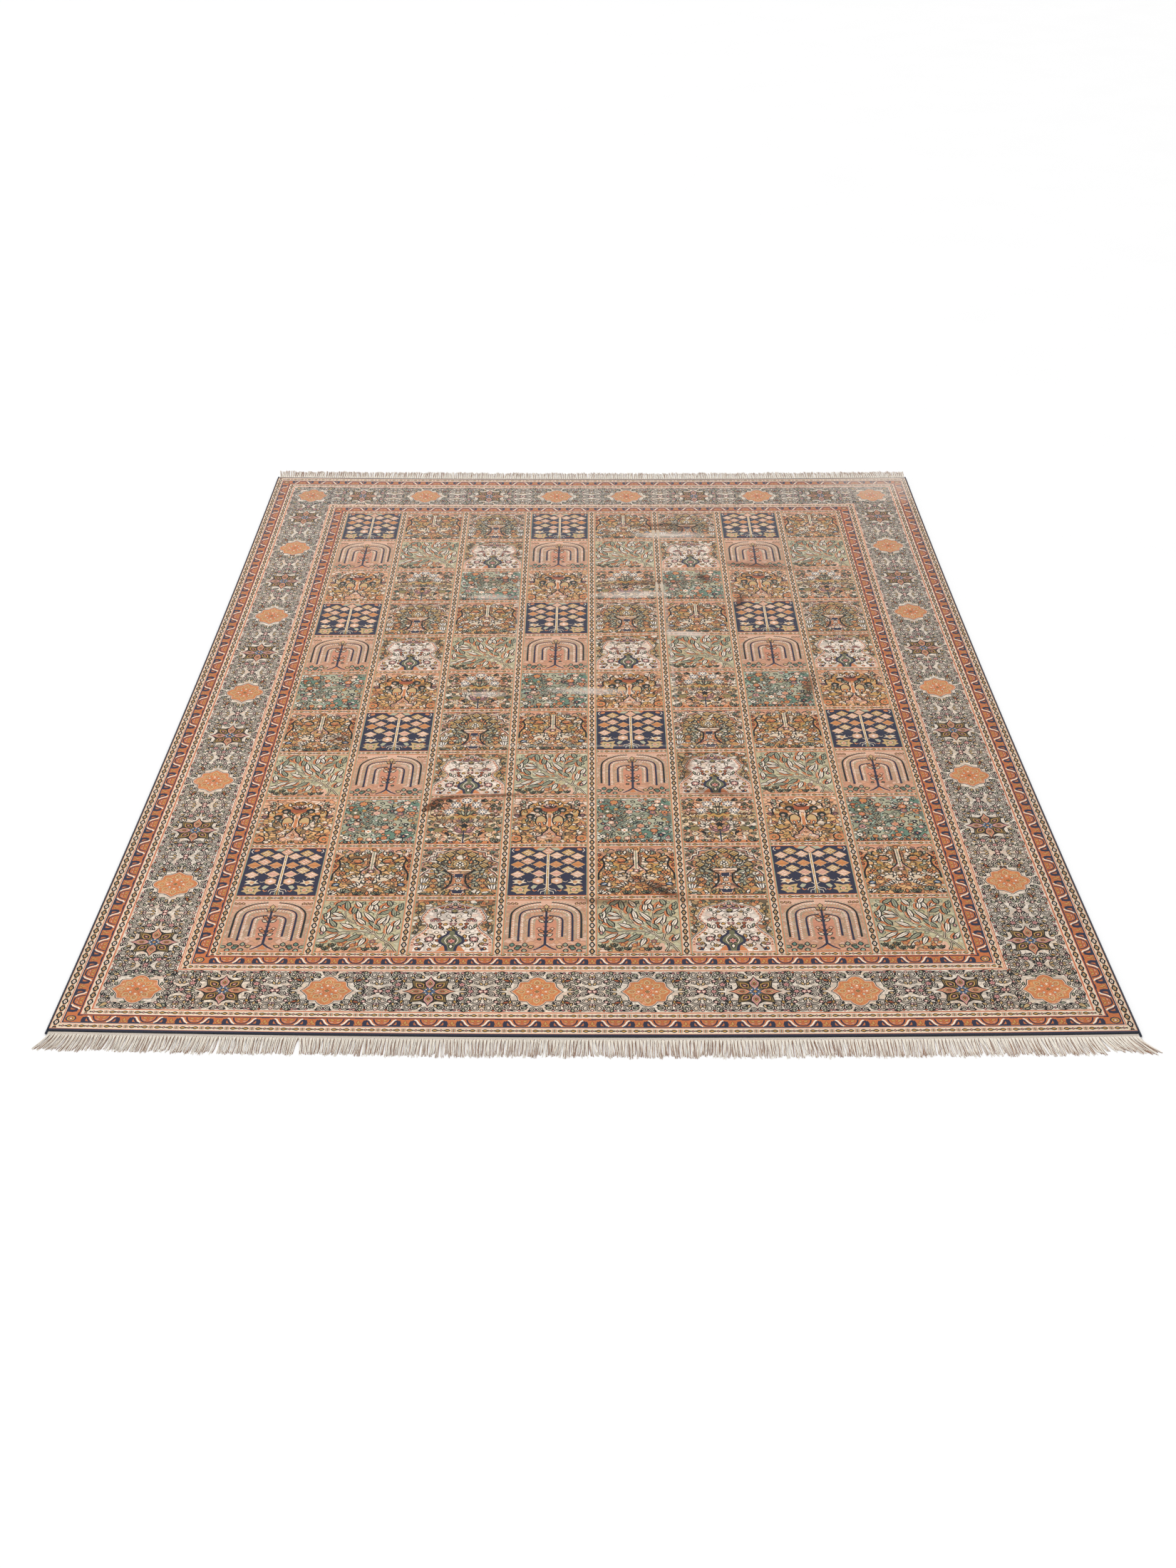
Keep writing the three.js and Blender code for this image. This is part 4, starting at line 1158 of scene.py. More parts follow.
def corner_scrolls(card):
    """The scrolls round a corner's medallion, the same on both sides of the diagonal."""
    for q in quarters(card):
        for half in (q, q.at(turn=-90, flip=True)):
            curl(half.at(12, 51, 190), 0.72)
            curl(half.at(33, 50, 20), 0.80)
            leaf(half.at(20, 44, 30), 9, 3.6, "straw")
            blossom(half.at(23, 54.5), 3.8, "pink", "ink", "ivory", 5)
            blossom(half.at(0, 53), 3.6, "mauve", "ink", None, 4)
            leaf(half.at(52, 42, 60), 11, 4, "sage")
            curl(half.at(50, 23, 60), 0.64)
            leaf(half.at(40, 12, 100), 9, 3.4, "sage")
        leaf(q.at(41, 41, 45), 17, 7, "straw", vein="slate")
        blossom(q.at(40, 40), 4.6, "pink", "ink", "ivory", 5)


print("each quarter of a gap holds", len(CURLS), "scrolls, and of a collar", len(COLLAR_CURLS))

# %% [markdown]
# The borders are drawn in the rug's own millimetres. `edge_card` gives a card whose X runs along one
# edge and whose Y runs from that edge inwards, so one set of motifs serves all four edges. The boats
# are spaced so that a whole number of them fits each edge. All of it is far more than one mesh should
# hold, so the card is later cut into tiles.

# %% The four borders
MEDALLION_SIZES = {"O": (43.0, 41.5), "P": (45.0, 43.0)}
END_MEDALLIONS = ((-782, "O"), (-635, "P"), (-456, "O"), (-280, "P"), (-95, "O"),
                  (95, "O"), (280, "P"), (456, "O"), (635, "P"), (782, "O"))
SIDE_MEDALLIONS = ((-1114, "O"), (-968, "P"), (-774, "O"), (-578, "P"), (-385, "O"), (-194, "P"), (0, "O"),
                   (194, "P"), (385, "O"), (578, "P"), (774, "O"), (968, "P"), (1114, "O"))
BOAT_PITCH = 79.5
GUARD_WIDTH = 22.0
SIDE_BOAT_PITCH = 88.0
FRAME_X, FRAME_Y = RUG_WIDTH / 2, RUG_LENGTH / 2


def edge_card(card, edge):
    return {"front": card.at(0, -FRAME_Y), "back": card.at(0, FRAME_Y, 180),
            "left": card.at(-FRAME_X, 0, -90), "right": card.at(FRAME_X, 0, 90)}[edge]


def draw_gaps(band, medallions):
    """Scrollwork between each two medallions of one edge, then the medallions on top."""
    last = len(medallions) - 1
    for (a, _), (b, _) in zip(medallions, medallions[1:]):
        scrollwork(band.at((a + b) / 2, MAIN_BORDER), (b - a) / 2)
    for number, (x, kind) in enumerate(medallions):
        place = band.at(x, MAIN_BORDER)
        if number in (0, last):
            if medallions is SIDE_MEDALLIONS:
                continue  # the ends draw the four corners
            corner_scrolls(place)
        else:
            collar(place, kind)
        if kind == "O":
            orange_medallion(place, *MEDALLION_SIZES["O"])
        else:
            mauve_medallion(place, *MEDALLION_SIZES["P"])


def draw_borders():
    card = Card()
    for inset, yarn in FRAME_BANDS:
        card.area(box_points(-FRAME_X + inset, -FRAME_Y + inset, FRAME_X - inset, FRAME_Y - inset), yarn)
    for side in card.both():
        for near, far in CHAIN_BANDS:
            side.area(box_points(FRAME_X - far, near - FRAME_Y, FRAME_X - near, FRAME_Y - near),
                      "beads along")
    across, along = (FRAME_X, BOAT_PITCH, END_MEDALLIONS), (FRAME_Y, SIDE_BOAT_PITCH, SIDE_MEDALLIONS)
    for edge, (reach, wanted, medallions) in (("front", across), ("back", across), ("left", along),
                                              ("right", along)):
        band = edge_card(card, edge)
        for inset in GUARDS:
            count = round((reach - inset - GUARD_WIDTH / 2) / wanted)
            pitch = (reach - inset - GUARD_WIDTH / 2) / count
            for half in band.at(0, inset).both():
                for k in range(count):
                    for boat in half.at((k + 0.5) * pitch, 0).both():
                        guard_wave(boat, pitch / BOAT_PITCH)
                for k in range(count):
                    guard_fan(half.at(k * pitch, 0))
                corner = half.at(reach - inset, 0)
                for size, yarn in ((9.5, "navy"), (7.0, "gold"), (4.2, "rust"), (2.0, "ivory")):
                    corner.area(ring(size, 8), yarn)
        draw_gaps(band, medallions)
    return card


borders = draw_borders()
print("borders:", len(borders.shapes), "shapes")

# %% [markdown]
# ## Cutting the cards into a real surface
#
# The pattern could be an image on one flat sheet, but then its edges blur and it can't be reused. Here
# each flat shape becomes real faces. A constrained Delaunay triangulation splits a tile along every
# outline at once and says, for each small triangle, which shapes cover it. The last of them is on top,
# so its yarn colours the triangle. A few grid points are added so that the surface can follow creases.

# %% Triangulating one tile
GRID_STEPS = 6  # of the extra points across one tile, so that it can bend
SMALLEST = 0.02  # a face with less than half this area, in square mm, is left out
BOX_SLACK = 0.01  # by which a triangle's middle may lie outside its face's box, mm
POINT_SLACK = 1e-4  # points nearer than this become one, mm


def anticlockwise(points):
    """Twice the area of an outline, below 0 for a clockwise one, and its points anticlockwise."""
    area = sum(ax * by - bx * ay for (ax, ay), (bx, by) in zip(points, points[1:] + points[:1]))
    return area, (points if area > 0 else points[::-1])


def plain_faces(points):
    """A shape as anticlockwise faces. A four-cornered piece that crosses itself becomes two triangles."""
    points = list(points)
    area, turned = anticlockwise(points)
    if len(points) == 4:
        halves = [anticlockwise(points[:3]), anticlockwise([points[0], points[2], points[3]])]
        if halves[0][0] * halves[1][0] < 0:
            return [half[1] for half in halves if abs(half[0]) > SMALLEST]
    return [turned] if abs(area) > SMALLEST else []


def twice_area(flat, triangles):
    """Twice the area of each triangle."""
    a, b = flat[triangles[:, 1]] - flat[triangles[:, 0]], flat[triangles[:, 2]] - flat[triangles[:, 0]]
    return np.abs(a[:, 0] * b[:, 1] - a[:, 1] * b[:, 0])


def inside(x, y, outline):
    """Whether a point lies in an outline, by counting the edges to one side of it."""
    crossings = 0
    for (ax, ay), (bx, by) in zip(outline, outline[1:] + outline[:1]):
        if (ay > y) != (by > y) and x < ax + (y - ay) * (bx - ax) / (by - ay):
            crossings += 1
    return crossings % 2 == 1


def top_faces(flat, triangles, covers, outlines):
    """The highest face over each triangle.

    Where rounding leaves an outline open, its face leaks into its neighbours. So a triangle's middle has
    to lie in the face's own box, and in its outline too where the face claims more than its area."""
    middles = flat[triangles].mean(axis=1)
    areas = 0.5 * twice_area(flat, triangles)
    claimed = [0.0] * len(outlines)
    for area, cover in zip(areas.tolist(), covers):
        for face in cover:
            claimed[face] += area
    boxes = [(min(p[0] for p in o) - BOX_SLACK, min(p[1] for p in o) - BOX_SLACK,
              max(p[0] for p in o) + BOX_SLACK, max(p[1] for p in o) + BOX_SLACK) for o in outlines]
    doubtful = [own > 0.51 * anticlockwise(o)[0] + 0.5 for own, o in zip(claimed, outlines)]
    top = []
    for (x, y), cover in zip(middles.tolist(), covers):
        for face in sorted(cover, reverse=True):
            x0, y0, x1, y1 = boxes[face]
            if x0 < x < x1 and y0 < y < y1 and not (doubtful[face] and not inside(x, y, outlines[face])):
                break
        top.append(face if cover else 0)
    return top


def cover_tile(shapes, grid, rim_size):
    """Triangulate the shapes inside the rim. Gives points, triangles and a yarn for each triangle."""
    points = list(grid)
    faces, yarns = [list(range(rim_size))], [YARN_NAMES.index(shapes[0][1])]
    for outline, yarn in shapes[1:]:
        for face in plain_faces(outline):
            faces.append(list(range(len(points), len(points) + len(face))))
            points.extend(face)
            yarns.append(YARN_NAMES.index(yarn))
    vectors = [Vector(p) for p in points]
    flat, _, triangles, _, _, covers = delaunay_2d_cdt(vectors, [], faces, 1, POINT_SLACK, True)
    flat, triangles = np.array([(p.x, p.y) for p in flat]), np.array(triangles)
    top = top_faces(flat, triangles, covers, [[points[k] for k in face] for face in faces])
    kept = [k for k, cover in enumerate(covers) if 0 in cover]
    return flat, triangles[kept], np.array(yarns)[np.array(top)[kept]]


print("each tile gets", (GRID_STEPS + 1) ** 2, "extra points")

# %% [markdown]
# Most of those triangles lie inside one colour, because covered outlines still cut the surface. So a
# second pass keeps only the edges where two yarns meet, drops the points in the middle of a straight
# edge, and triangulates again. A ray straight down finds each new triangle's yarn. That takes away
# many triangles, and what one sees stays the same.

# %% Keeping only the outlines between yarns
STRAIGHT = 0.12  # how far off a straight line a dropped point may be, mm
SLIVER = 1e-5  # twice the area below which a triangle is dropped, square mm


def colour_edges(triangles, yarns):
    """Pairs of points where the yarn changes, or where the tile ends."""
    pairs = np.sort(np.concatenate([triangles[:, [0, 1]], triangles[:, [1, 2]], triangles[:, [2, 0]]]),
                    axis=1)
    sides = np.tile(yarns, 3)
    order = np.lexsort((pairs[:, 1], pairs[:, 0]))
    pairs, sides = pairs[order], sides[order]
    twin = (pairs[:-1] == pairs[1:]).all(axis=1)
    inner = np.zeros(len(pairs), dtype=bool)
    same = twin & (sides[:-1] == sides[1:])
    inner[:-1] |= twin
    inner[1:] |= twin
    changing = pairs[:-1][twin & ~same]
    return changing, pairs[~inner]


def straightened(flat, edges, locked):
    """Join edges in line with each other, by dropping the point between them."""
    links = {}
    for a, b in edges.tolist():
        links.setdefault(a, set()).add(b)
        links.setdefault(b, set()).add(a)
    for point in list(links):
        if point in locked or len(links[point]) != 2:
            continue
        a, b = links[point]
        (ax, ay), (bx, by), (px, py) = flat[a], flat[b], flat[point]
        length = math.hypot(bx - ax, by - ay)
        if length < 1e-6 or b in links[a]:
            continue
        if abs((bx - ax) * (py - ay) - (by - ay) * (px - ax)) / length < STRAIGHT:
            links[a].remove(point)
            links[b].remove(point)
            links[a].add(b)
            links[b].add(a)
            del links[point]
    return [(a, b) for a in links for b in links[a] if a < b]


def cut_tile(shapes, x0, y0, x1, y1):
    """One rectangle of the pattern as points, triangles and a yarn for each triangle."""
    steps = np.linspace(0, 1, GRID_STEPS + 1)
    xs, ys = x0 + (x1 - x0) * steps, y0 + (y1 - y0) * steps
    rim = [(x, y0) for x in xs[:-1]] + [(x1, y) for y in ys[:-1]]
    rim += [(x, y1) for x in xs[:0:-1]] + [(x0, y) for y in ys[:0:-1]]
    grid = rim + [(x, y) for x in xs[1:-1] for y in ys[1:-1]]
    flat, triangles, yarns = cover_tile(shapes, grid, len(rim))
    changing, border = colour_edges(triangles, yarns)
    # points of the tile's border stay where a change of yarn meets them
    edges = straightened(flat, changing, set(border.ravel().tolist()))
    used = sorted({point for edge in edges for point in edge})
    number = {point: k for k, point in enumerate(used)}
    points = [Vector(flat[point]) for point in used] + [Vector(p) for p in grid]
    edges = [(number[a], number[b]) for a, b in edges]
    cut, _, faces, *_ = delaunay_2d_cdt(points, edges, [], 0, POINT_SLACK, False)
    cut, faces = np.array([(p.x, p.y) for p in cut]), np.array(faces)
    centres = cut[faces].mean(axis=1)
    below = BVHTree.FromPolygons([(x, y, 0.0) for x, y in flat], triangles.tolist())
    down = Vector((0, 0, -1))
    hits = [below.ray_cast(Vector((x, y, 1.0)), down)[2] for x, y in centres]
    found = np.array([-1 if hit is None else hit for hit in hits])
    kept = (found >= 0) & (twice_area(cut, faces) > SLIVER)
    return cut, faces[kept], yarns[found[kept]]


print("a point less than", STRAIGHT, "mm off a straight edge is dropped")

# %% [markdown]
# A point of the pile stands 5 mm above the floor, and a crease lifts it a little more. Besides its
# yarn's colour, each corner keeps three numbers for the finish: how far along a bead chain it lies, how
# far off the chain's middle, and a kind. The kind says which way the chain runs. On a figured ground it
# is a number below 0 instead, which says how strongly the figures show.

# %% Laying one tile on the rug
def linked(name, data):
    """A new object with this data, linked to the scene."""
    piece = bpy.data.objects.new(name, data)
    bpy.context.scene.collection.objects.link(piece)
    return piece


def mesh_object(name, points, faces, materials, smooth=False):
    """A mesh object from arrays, in metres, linked to the scene."""
    mesh = bpy.data.meshes.new(name)
    mesh.from_pydata([tuple(p) for p in points], [], [tuple(f) for f in faces])
    mesh.validate()
    mesh.polygons.foreach_set("use_smooth", [smooth] * len(mesh.polygons))
    for material in materials:
        mesh.materials.append(material)
    return linked(name, mesh)


FIGURE_STRENGTH = np.array([FIGURED.get(name, 0.0) for name in YARN_NAMES], dtype=np.float32)
COLUMN_LINES = [k * COLUMN_PITCH - FIELD_X for k in range(COLUMNS + 1)]
ROW_LINES = [k * ROW_PITCH - FIELD_Y for k in range(ROWS + 1)]
COLUMN_CHAINS = np.array(COLUMN_LINES + [side * (FRAME_X - inset) for side in (-1, 1) for inset in CHAINS])
ROW_CHAINS = np.array(ROW_LINES + [side * (FRAME_Y - inset) for side in (-1, 1) for inset in CHAINS])


def chain_places(x, y, yarns):
    """For each corner: place along its chain in pitches, mm off its middle, and 1 or 2 for the kind.
    A figured ground has its strength there instead, as a number below 0."""
    found = np.zeros((*x.shape, 3), dtype=np.float32)
    found[:, :, 2] = -FIGURE_STRENGTH[yarns][:, None]
    kinds = (("beads along", y / BEAD_PITCH, x, COLUMN_CHAINS),
             ("beads across", x / PAIR_PITCH, y, ROW_CHAINS))
    for number, (name, along, across, middles) in enumerate(kinds, 1):
        here = yarns == YARN_NAMES.index(name)
        if here.any():
            nearest = np.abs(across[here].mean(axis=1)[:, None] - middles).argmin(axis=1)
            found[here, :, 0] = along[here]
            found[here, :, 1] = across[here] - middles[nearest][:, None]
            found[here, :, 2] = number
    return found


def lay_tile(name, flat, triangles, yarns, material):
    """A cut tile as a mesh object on the rug, with its yarn colours and chain places."""
    used = np.unique(triangles)
    renumber = np.zeros(len(flat), dtype=int)
    renumber[used] = np.arange(len(used))
    x, y = flat[used, 0], flat[used, 1]
    height = CLOTH_THICKNESS + mounds(x, y, CREASES)
    woven_x, woven_y = as_woven(x, y)
    corners = renumber[triangles]
    mesh = bpy.data.meshes.new(name)
    mesh.vertices.add(len(used))
    mesh.vertices.foreach_set("co", (np.stack([woven_x, woven_y, height], 1) * MM).ravel())
    mesh.loops.add(corners.size)
    mesh.loops.foreach_set("vertex_index", corners.ravel())
    mesh.polygons.add(len(corners))
    mesh.polygons.foreach_set("loop_start", np.arange(0, corners.size, 3))
    mesh.update(calc_edges=True)
    mesh.polygons.foreach_set("use_smooth", [True] * len(corners))
    yarn = mesh.color_attributes.new("yarn", "FLOAT_COLOR", "CORNER")
    yarn.data.foreach_set("color", np.repeat(YARN_LIGHT[yarns], 3, axis=0).ravel())
    chain = mesh.attributes.new("chain", "FLOAT_VECTOR", "CORNER")
    chain.data.foreach_set("vector", chain_places(x[corners], y[corners], yarns).ravel())
    mesh.materials.append(material)
    return linked(name, mesh)


print(len(COLUMN_CHAINS), "chains run along the rug and", len(ROW_CHAINS), "across it")

# %% [markdown]
# ## Shader maths as plain Python
#
# `Value` wraps a number that changes over a surface, so that a formula reads as a formula. `Finish`
# starts a material and makes any other node from its type, its settings and its inputs.

# %% Shader helpers
class Value:
    """A shader number. Arithmetic on it adds Math nodes to its material."""

    def __init__(self, finish, socket):
        self.finish, self.socket = finish, socket

    def math(self, operation, *others):
        node = self.finish.node("ShaderNodeMath", {"operation": operation}, dict(enumerate((self, *others))))
        return Value(self.finish, node.outputs[0])

    def __add__(self, other):
        return self.math("ADD", other)

    def __sub__(self, other):
        return self.math("SUBTRACT", other)

    def __rsub__(self, other):
        return (self * -1.0) + other

    def __mul__(self, other):
        return self.math("MULTIPLY", other)

    def __truediv__(self, other):
        return self.math("DIVIDE", other)

    __radd__ = __add__

    def power(self, exponent):
        return self.math("POWER", exponent)

    def sine(self):
        return self.math("SINE")

    def size(self):
        return self.math("ABSOLUTE")

    def __lt__(self, other):
        return self.math("LESS_THAN", other)

    def __gt__(self, other):
        return self.math("GREATER_THAN", other)

    def clamp(self):
        return self.math("MAXIMUM", 0.0).math("MINIMUM", 1.0)


class Finish:
    """A material that is being built round one Principled shader."""

    def __init__(self, name, **constants):
        self.material = bpy.data.materials.new(name)
        self.material.use_nodes = True
        self.tree = self.material.node_tree
        self.shader = self.tree.nodes["Principled BSDF"]
        for socket, value in constants.items():
            self.shader.inputs[socket.replace("_", " ")].default_value = value

    def node(self, kind, settings=None, inputs=None):
        node = self.tree.nodes.new(kind)
        for name, value in (settings or {}).items():
            setattr(node, name, value)
        for key, value in (inputs or {}).items():
            self.feed(node.inputs[key], value)
        return node

    def feed(self, socket, value):
        if isinstance(value, Value):
            value = value.socket
        if isinstance(value, bpy.types.NodeSocket):
            self.tree.links.new(value, socket)
        else:
            socket.default_value = value

    def set(self, socket, value):
        self.feed(self.shader.inputs[socket], value)

    def value(self, kind, output, settings=None, inputs=None):
        return Value(self, self.node(kind, settings, inputs).outputs[output])

    def mix(self, factor, a, b, blend="MIX"):
        """Mix two colours. The factor is a number or a Value."""
        node = self.node("ShaderNodeMix", {"data_type": "RGBA", "blend_type": blend})
        self.feed(node.inputs["Factor"], factor)
        for index, colour in ((6, a), (7, b)):
            self.feed(node.inputs[index], colour)
        return node.outputs[2]

    def place(self):
        """Object coordinates, with the three of them as Values."""
        coordinates = self.node("ShaderNodeTexCoord").outputs["Object"]
        split = self.node("ShaderNodeSeparateXYZ", inputs={"Vector": coordinates})
        return coordinates, *(Value(self, split.outputs[axis]) for axis in "XYZ")

    def noise(self, vector, scale, detail=2.0, stretch=(1, 1, 1)):
        """Fractal noise from 0 to 1, in periods a metre, stretched by its scale on each axis."""
        mapping = self.node("ShaderNodeMapping",
                            inputs={"Vector": vector, "Scale": [scale * s for s in stretch]})
        return self.value("ShaderNodeTexNoise", "Fac", {"noise_dimensions": "3D"},
                          {"Vector": mapping.outputs[0], "Scale": 1.0, "Detail": detail})

    def bump(self, height, strength, distance):
        node = self.node("ShaderNodeBump", inputs={"Height": height, "Strength": strength,
                                                   "Distance": distance})
        self.set("Normal", node.outputs[0])


def colour(name):
    """A yarn's colour for a socket."""
    return (*linear(YARNS[name]), 1.0)


print("helpers: Value, Finish, colour")

# %% [markdown]
# ## Silk pile
#
# Clipped silk isn't one colour anywhere: each knot takes the dye a little differently, each new batch
# of yarn leaves a faint band across the rug, and the pile shines more where it leans. So the yarn
# colour is varied by knot, by band and by a slow cloud. The cloud is partly dye and partly painted
# sheen, and the right side is painted a little darker, as painted shade. Rows of knots and the cut ends
# make the relief.
#
# The finish also draws what would take too many faces: the beads of the chains, from each corner's
# place along its chain, and the small buds and leaves of the figured grounds, from a cell pattern as
# coarse as ten knots. And it paints light and shade on the pile. On silk a fold shows as a soft dark or
# pale band, where the pile leans another way, and here those bands are painted shade and painted
# sheen. Painted glints, a painted sheen towards the far end and a painted shine at the far right
# corner come with them. Painted bands stay the same when the light moves, which is the price.

# %% Silk pile finish
KNOT_ACROSS, KNOT_ALONG = 1.15, 1.05  # the size of one knot, mm
FIGURE_KNOTS = 10.0  # from one small figure to the next, in knots
LONG_BEAD = (7.8, 5.4)  # half length and half width of a bead along the rug, mm
PAIR_BEAD = (5.6, 4.1)  # the same of a bead across the rug
PAIR_BEAD_PLACE = 10.5  # from the middle of a pair to the middle of its bead, mm
PAIR_LOZENGE = (3.9, 3.6)  # half length and half width of the lozenge between the two
# Which cells of a figured ground become a bud or a leaf, by a random number from 0 to 1, and its yarn.
FIGURE_SHARES = ((0.0, 0.16, "orange"), (0.30, 0.42, "gold"), (0.50, 0.57, "slate"), (0.62, 0.70, "rust"),
                 (0.78, 1.1, "white"))


def with_beads(finish, yarn):
    """The yarn colour with the bead chains drawn on their bands. Lengths are in mm."""
    chain = finish.node("ShaderNodeAttribute", {"attribute_name": "chain"}).outputs["Vector"]
    split = finish.node("ShaderNodeSeparateXYZ", inputs={"Vector": chain}).outputs
    along, across, kind = (Value(finish, split[axis]) for axis in "XYZ")
    number = along.math("ROUND")
    step, off = (along - number).size(), across.size()
    long_way, cross_way = (kind > 0.5) * (kind < 1.5), kind > 1.5
    third = number.math("FLOORED_MODULO", 3.0) < 0.5
    # beads along the rug: a long bead, a cross of two lines, and a small lozenge in the cross
    reach = step * BEAD_PITCH
    gap = (reach * -1.0) + BEAD_PITCH / 2
    cross = ((off - gap * 0.62).size() < 1.05) * (gap < 4.6)
    oval = (reach / LONG_BEAD[0]).power(2.0) + off / LONG_BEAD[1]
    half = oval < 0.44
    strokes = [(long_way * cross, "ink"), (long_way * ((gap / 1.9 + off / 1.7) < 1.0), "orange"),
               (long_way * (oval < 1.0), "ink"), (long_way * half, "straw"),
               (long_way * half * third, "ivory"), (long_way * (oval < 0.16), "rust")]
    # beads across the rug: two gold beads, a lozenge between them, and nested bars between the pairs
    reach = step * PAIR_PITCH
    oval = ((reach - PAIR_BEAD_PLACE) / PAIR_BEAD[0]).power(2.0) + off / PAIR_BEAD[1]
    bar = (reach * -1.0) + PAIR_PITCH / 2
    middle = reach / PAIR_LOZENGE[0] + off / PAIR_LOZENGE[1]
    tie = ((off - (reach - 3.2) * 0.7).size() < 0.9) * (reach > 3.2) * (reach < 5.6)
    strokes += [(cross_way * (middle < 1.0), "ink"), (cross_way * (middle < 0.5), "pink"),
                (cross_way * tie, "ink"), (cross_way * (oval < 1.0), "ink"),
                (cross_way * (oval < 0.46), "gold"), (cross_way * (bar < 4.0), "salmon"),
                (cross_way * (bar < 2.5), "teal"), (cross_way * (bar < 0.9), "rust"),
                (cross_way * (off > 4.4), "ivory")]
    for mask, name in strokes:
        yarn = finish.mix(mask, yarn, colour(name))
    return yarn


def with_figures(finish, yarn, knots):
    """The yarn colour with buds and leaves of a few knots each, where the ground is a figured one."""
    chain = finish.node("ShaderNodeAttribute", {"attribute_name": "chain"}).outputs["Vector"]
    kind = Value(finish, finish.node("ShaderNodeSeparateXYZ", inputs={"Vector": chain}).outputs["Z"])
    settings = {"voronoi_dimensions": "2D", "distance": "MANHATTAN"}
    scaled = {"Vector": knots, "Scale": 1 / FIGURE_KNOTS}
    first = finish.node("ShaderNodeTexVoronoi", {**settings, "feature": "F1"}, scaled)
    second = finish.value("ShaderNodeTexVoronoi", "Distance", {**settings, "feature": "F2"}, scaled)
    pick = finish.value("ShaderNodeSeparateColor", 0, inputs={"Color": first.outputs["Color"]})
    figured = yarn
    for low, high, name in FIGURE_SHARES:
        figured = finish.mix((pick > low) * (pick < high) * 0.85, figured, colour(name))
    line = (second - Value(finish, first.outputs["Distance"])) < 0.22
    figured = finish.mix(line * 0.9, figured, colour("ink"))
    return finish.mix((kind * -1.0).clamp(), yarn, figured)


# Bands of painted shade and painted sheen, in mm: centre x and y, half length, half width, turn in
# degrees, and how strong. The dark ones are painted shade at the folds. The pale ones are painted sheen
# beside them, then three long thin painted sheen streaks, and last a painted shine of the pile at the
# far right corner.
PAINTED_FOLD_SHADE = ((206, 902, 135, 20, 0, 0.7), (190, 872, 110, 12, -2, 0.5), (-235, 550, 85, 34, 0, 0.4),
              (147, 534, 150, 22, 3, 0.6), (284, 562, 22, 40, 24, 0.8), (-542, -248, 38, 22, -10, 0.6),
              (200, -360, 95, 12, 86, 0.6), (254, -469, 85, 18, -8, 0.6), (-322, -522, 32, 15, 50, 1.3),
              (-285, -492, 50, 12, 14, 1.0), (-200, -482, 80, 10, 3, 0.7),
              (366, 430, 70, 13, 80, 0.8), (489, -20, 90, 18, 78, 0.8), (120, -812, 110, 22, -38, 0.7),
              (30, -858, 90, 16, -6, 0.6), (430, 640, 120, 20, -12, 0.6))
PAINTED_SHEEN_BANDS = ((213, 834, 125, 26, 0, 0.9), (-249, 456, 65, 22, 0, 0.8), (100, 470, 115, 24, 2, 0.9),
              (224, 250, 62, 18, -4, 1.0), (-4, -33, 110, 20, -3, 0.9), (-234, -48, 52, 16, 0, 0.8),
              (-60, -279, 520, 6, 0, 0.3), (184, 240, 560, 5, 90.6, 0.45), (-180, 300, 420, 5, 91, 0.3),
              (900, 1250, 300, 220, 0, 0.55))


def painted_bands(x, y, table):
    """How strongly one of the painted bands of a table shows, from 0 to 1."""
    total = x * 0.0
    for centre_x, centre_y, half_length, half_width, turn, strength in table:
        c, s = math.cos(math.radians(turn)), math.sin(math.radians(turn))
        right, far = x - centre_x * MM, y - centre_y * MM
        along = (right * c + far * s) / (half_length * MM)
        across = (far * c - right * s) / (half_width * MM)
        near = ((along * along + across * across) * -1.0 + 1.0).clamp()
        total = total + near * strength
    return total.clamp()


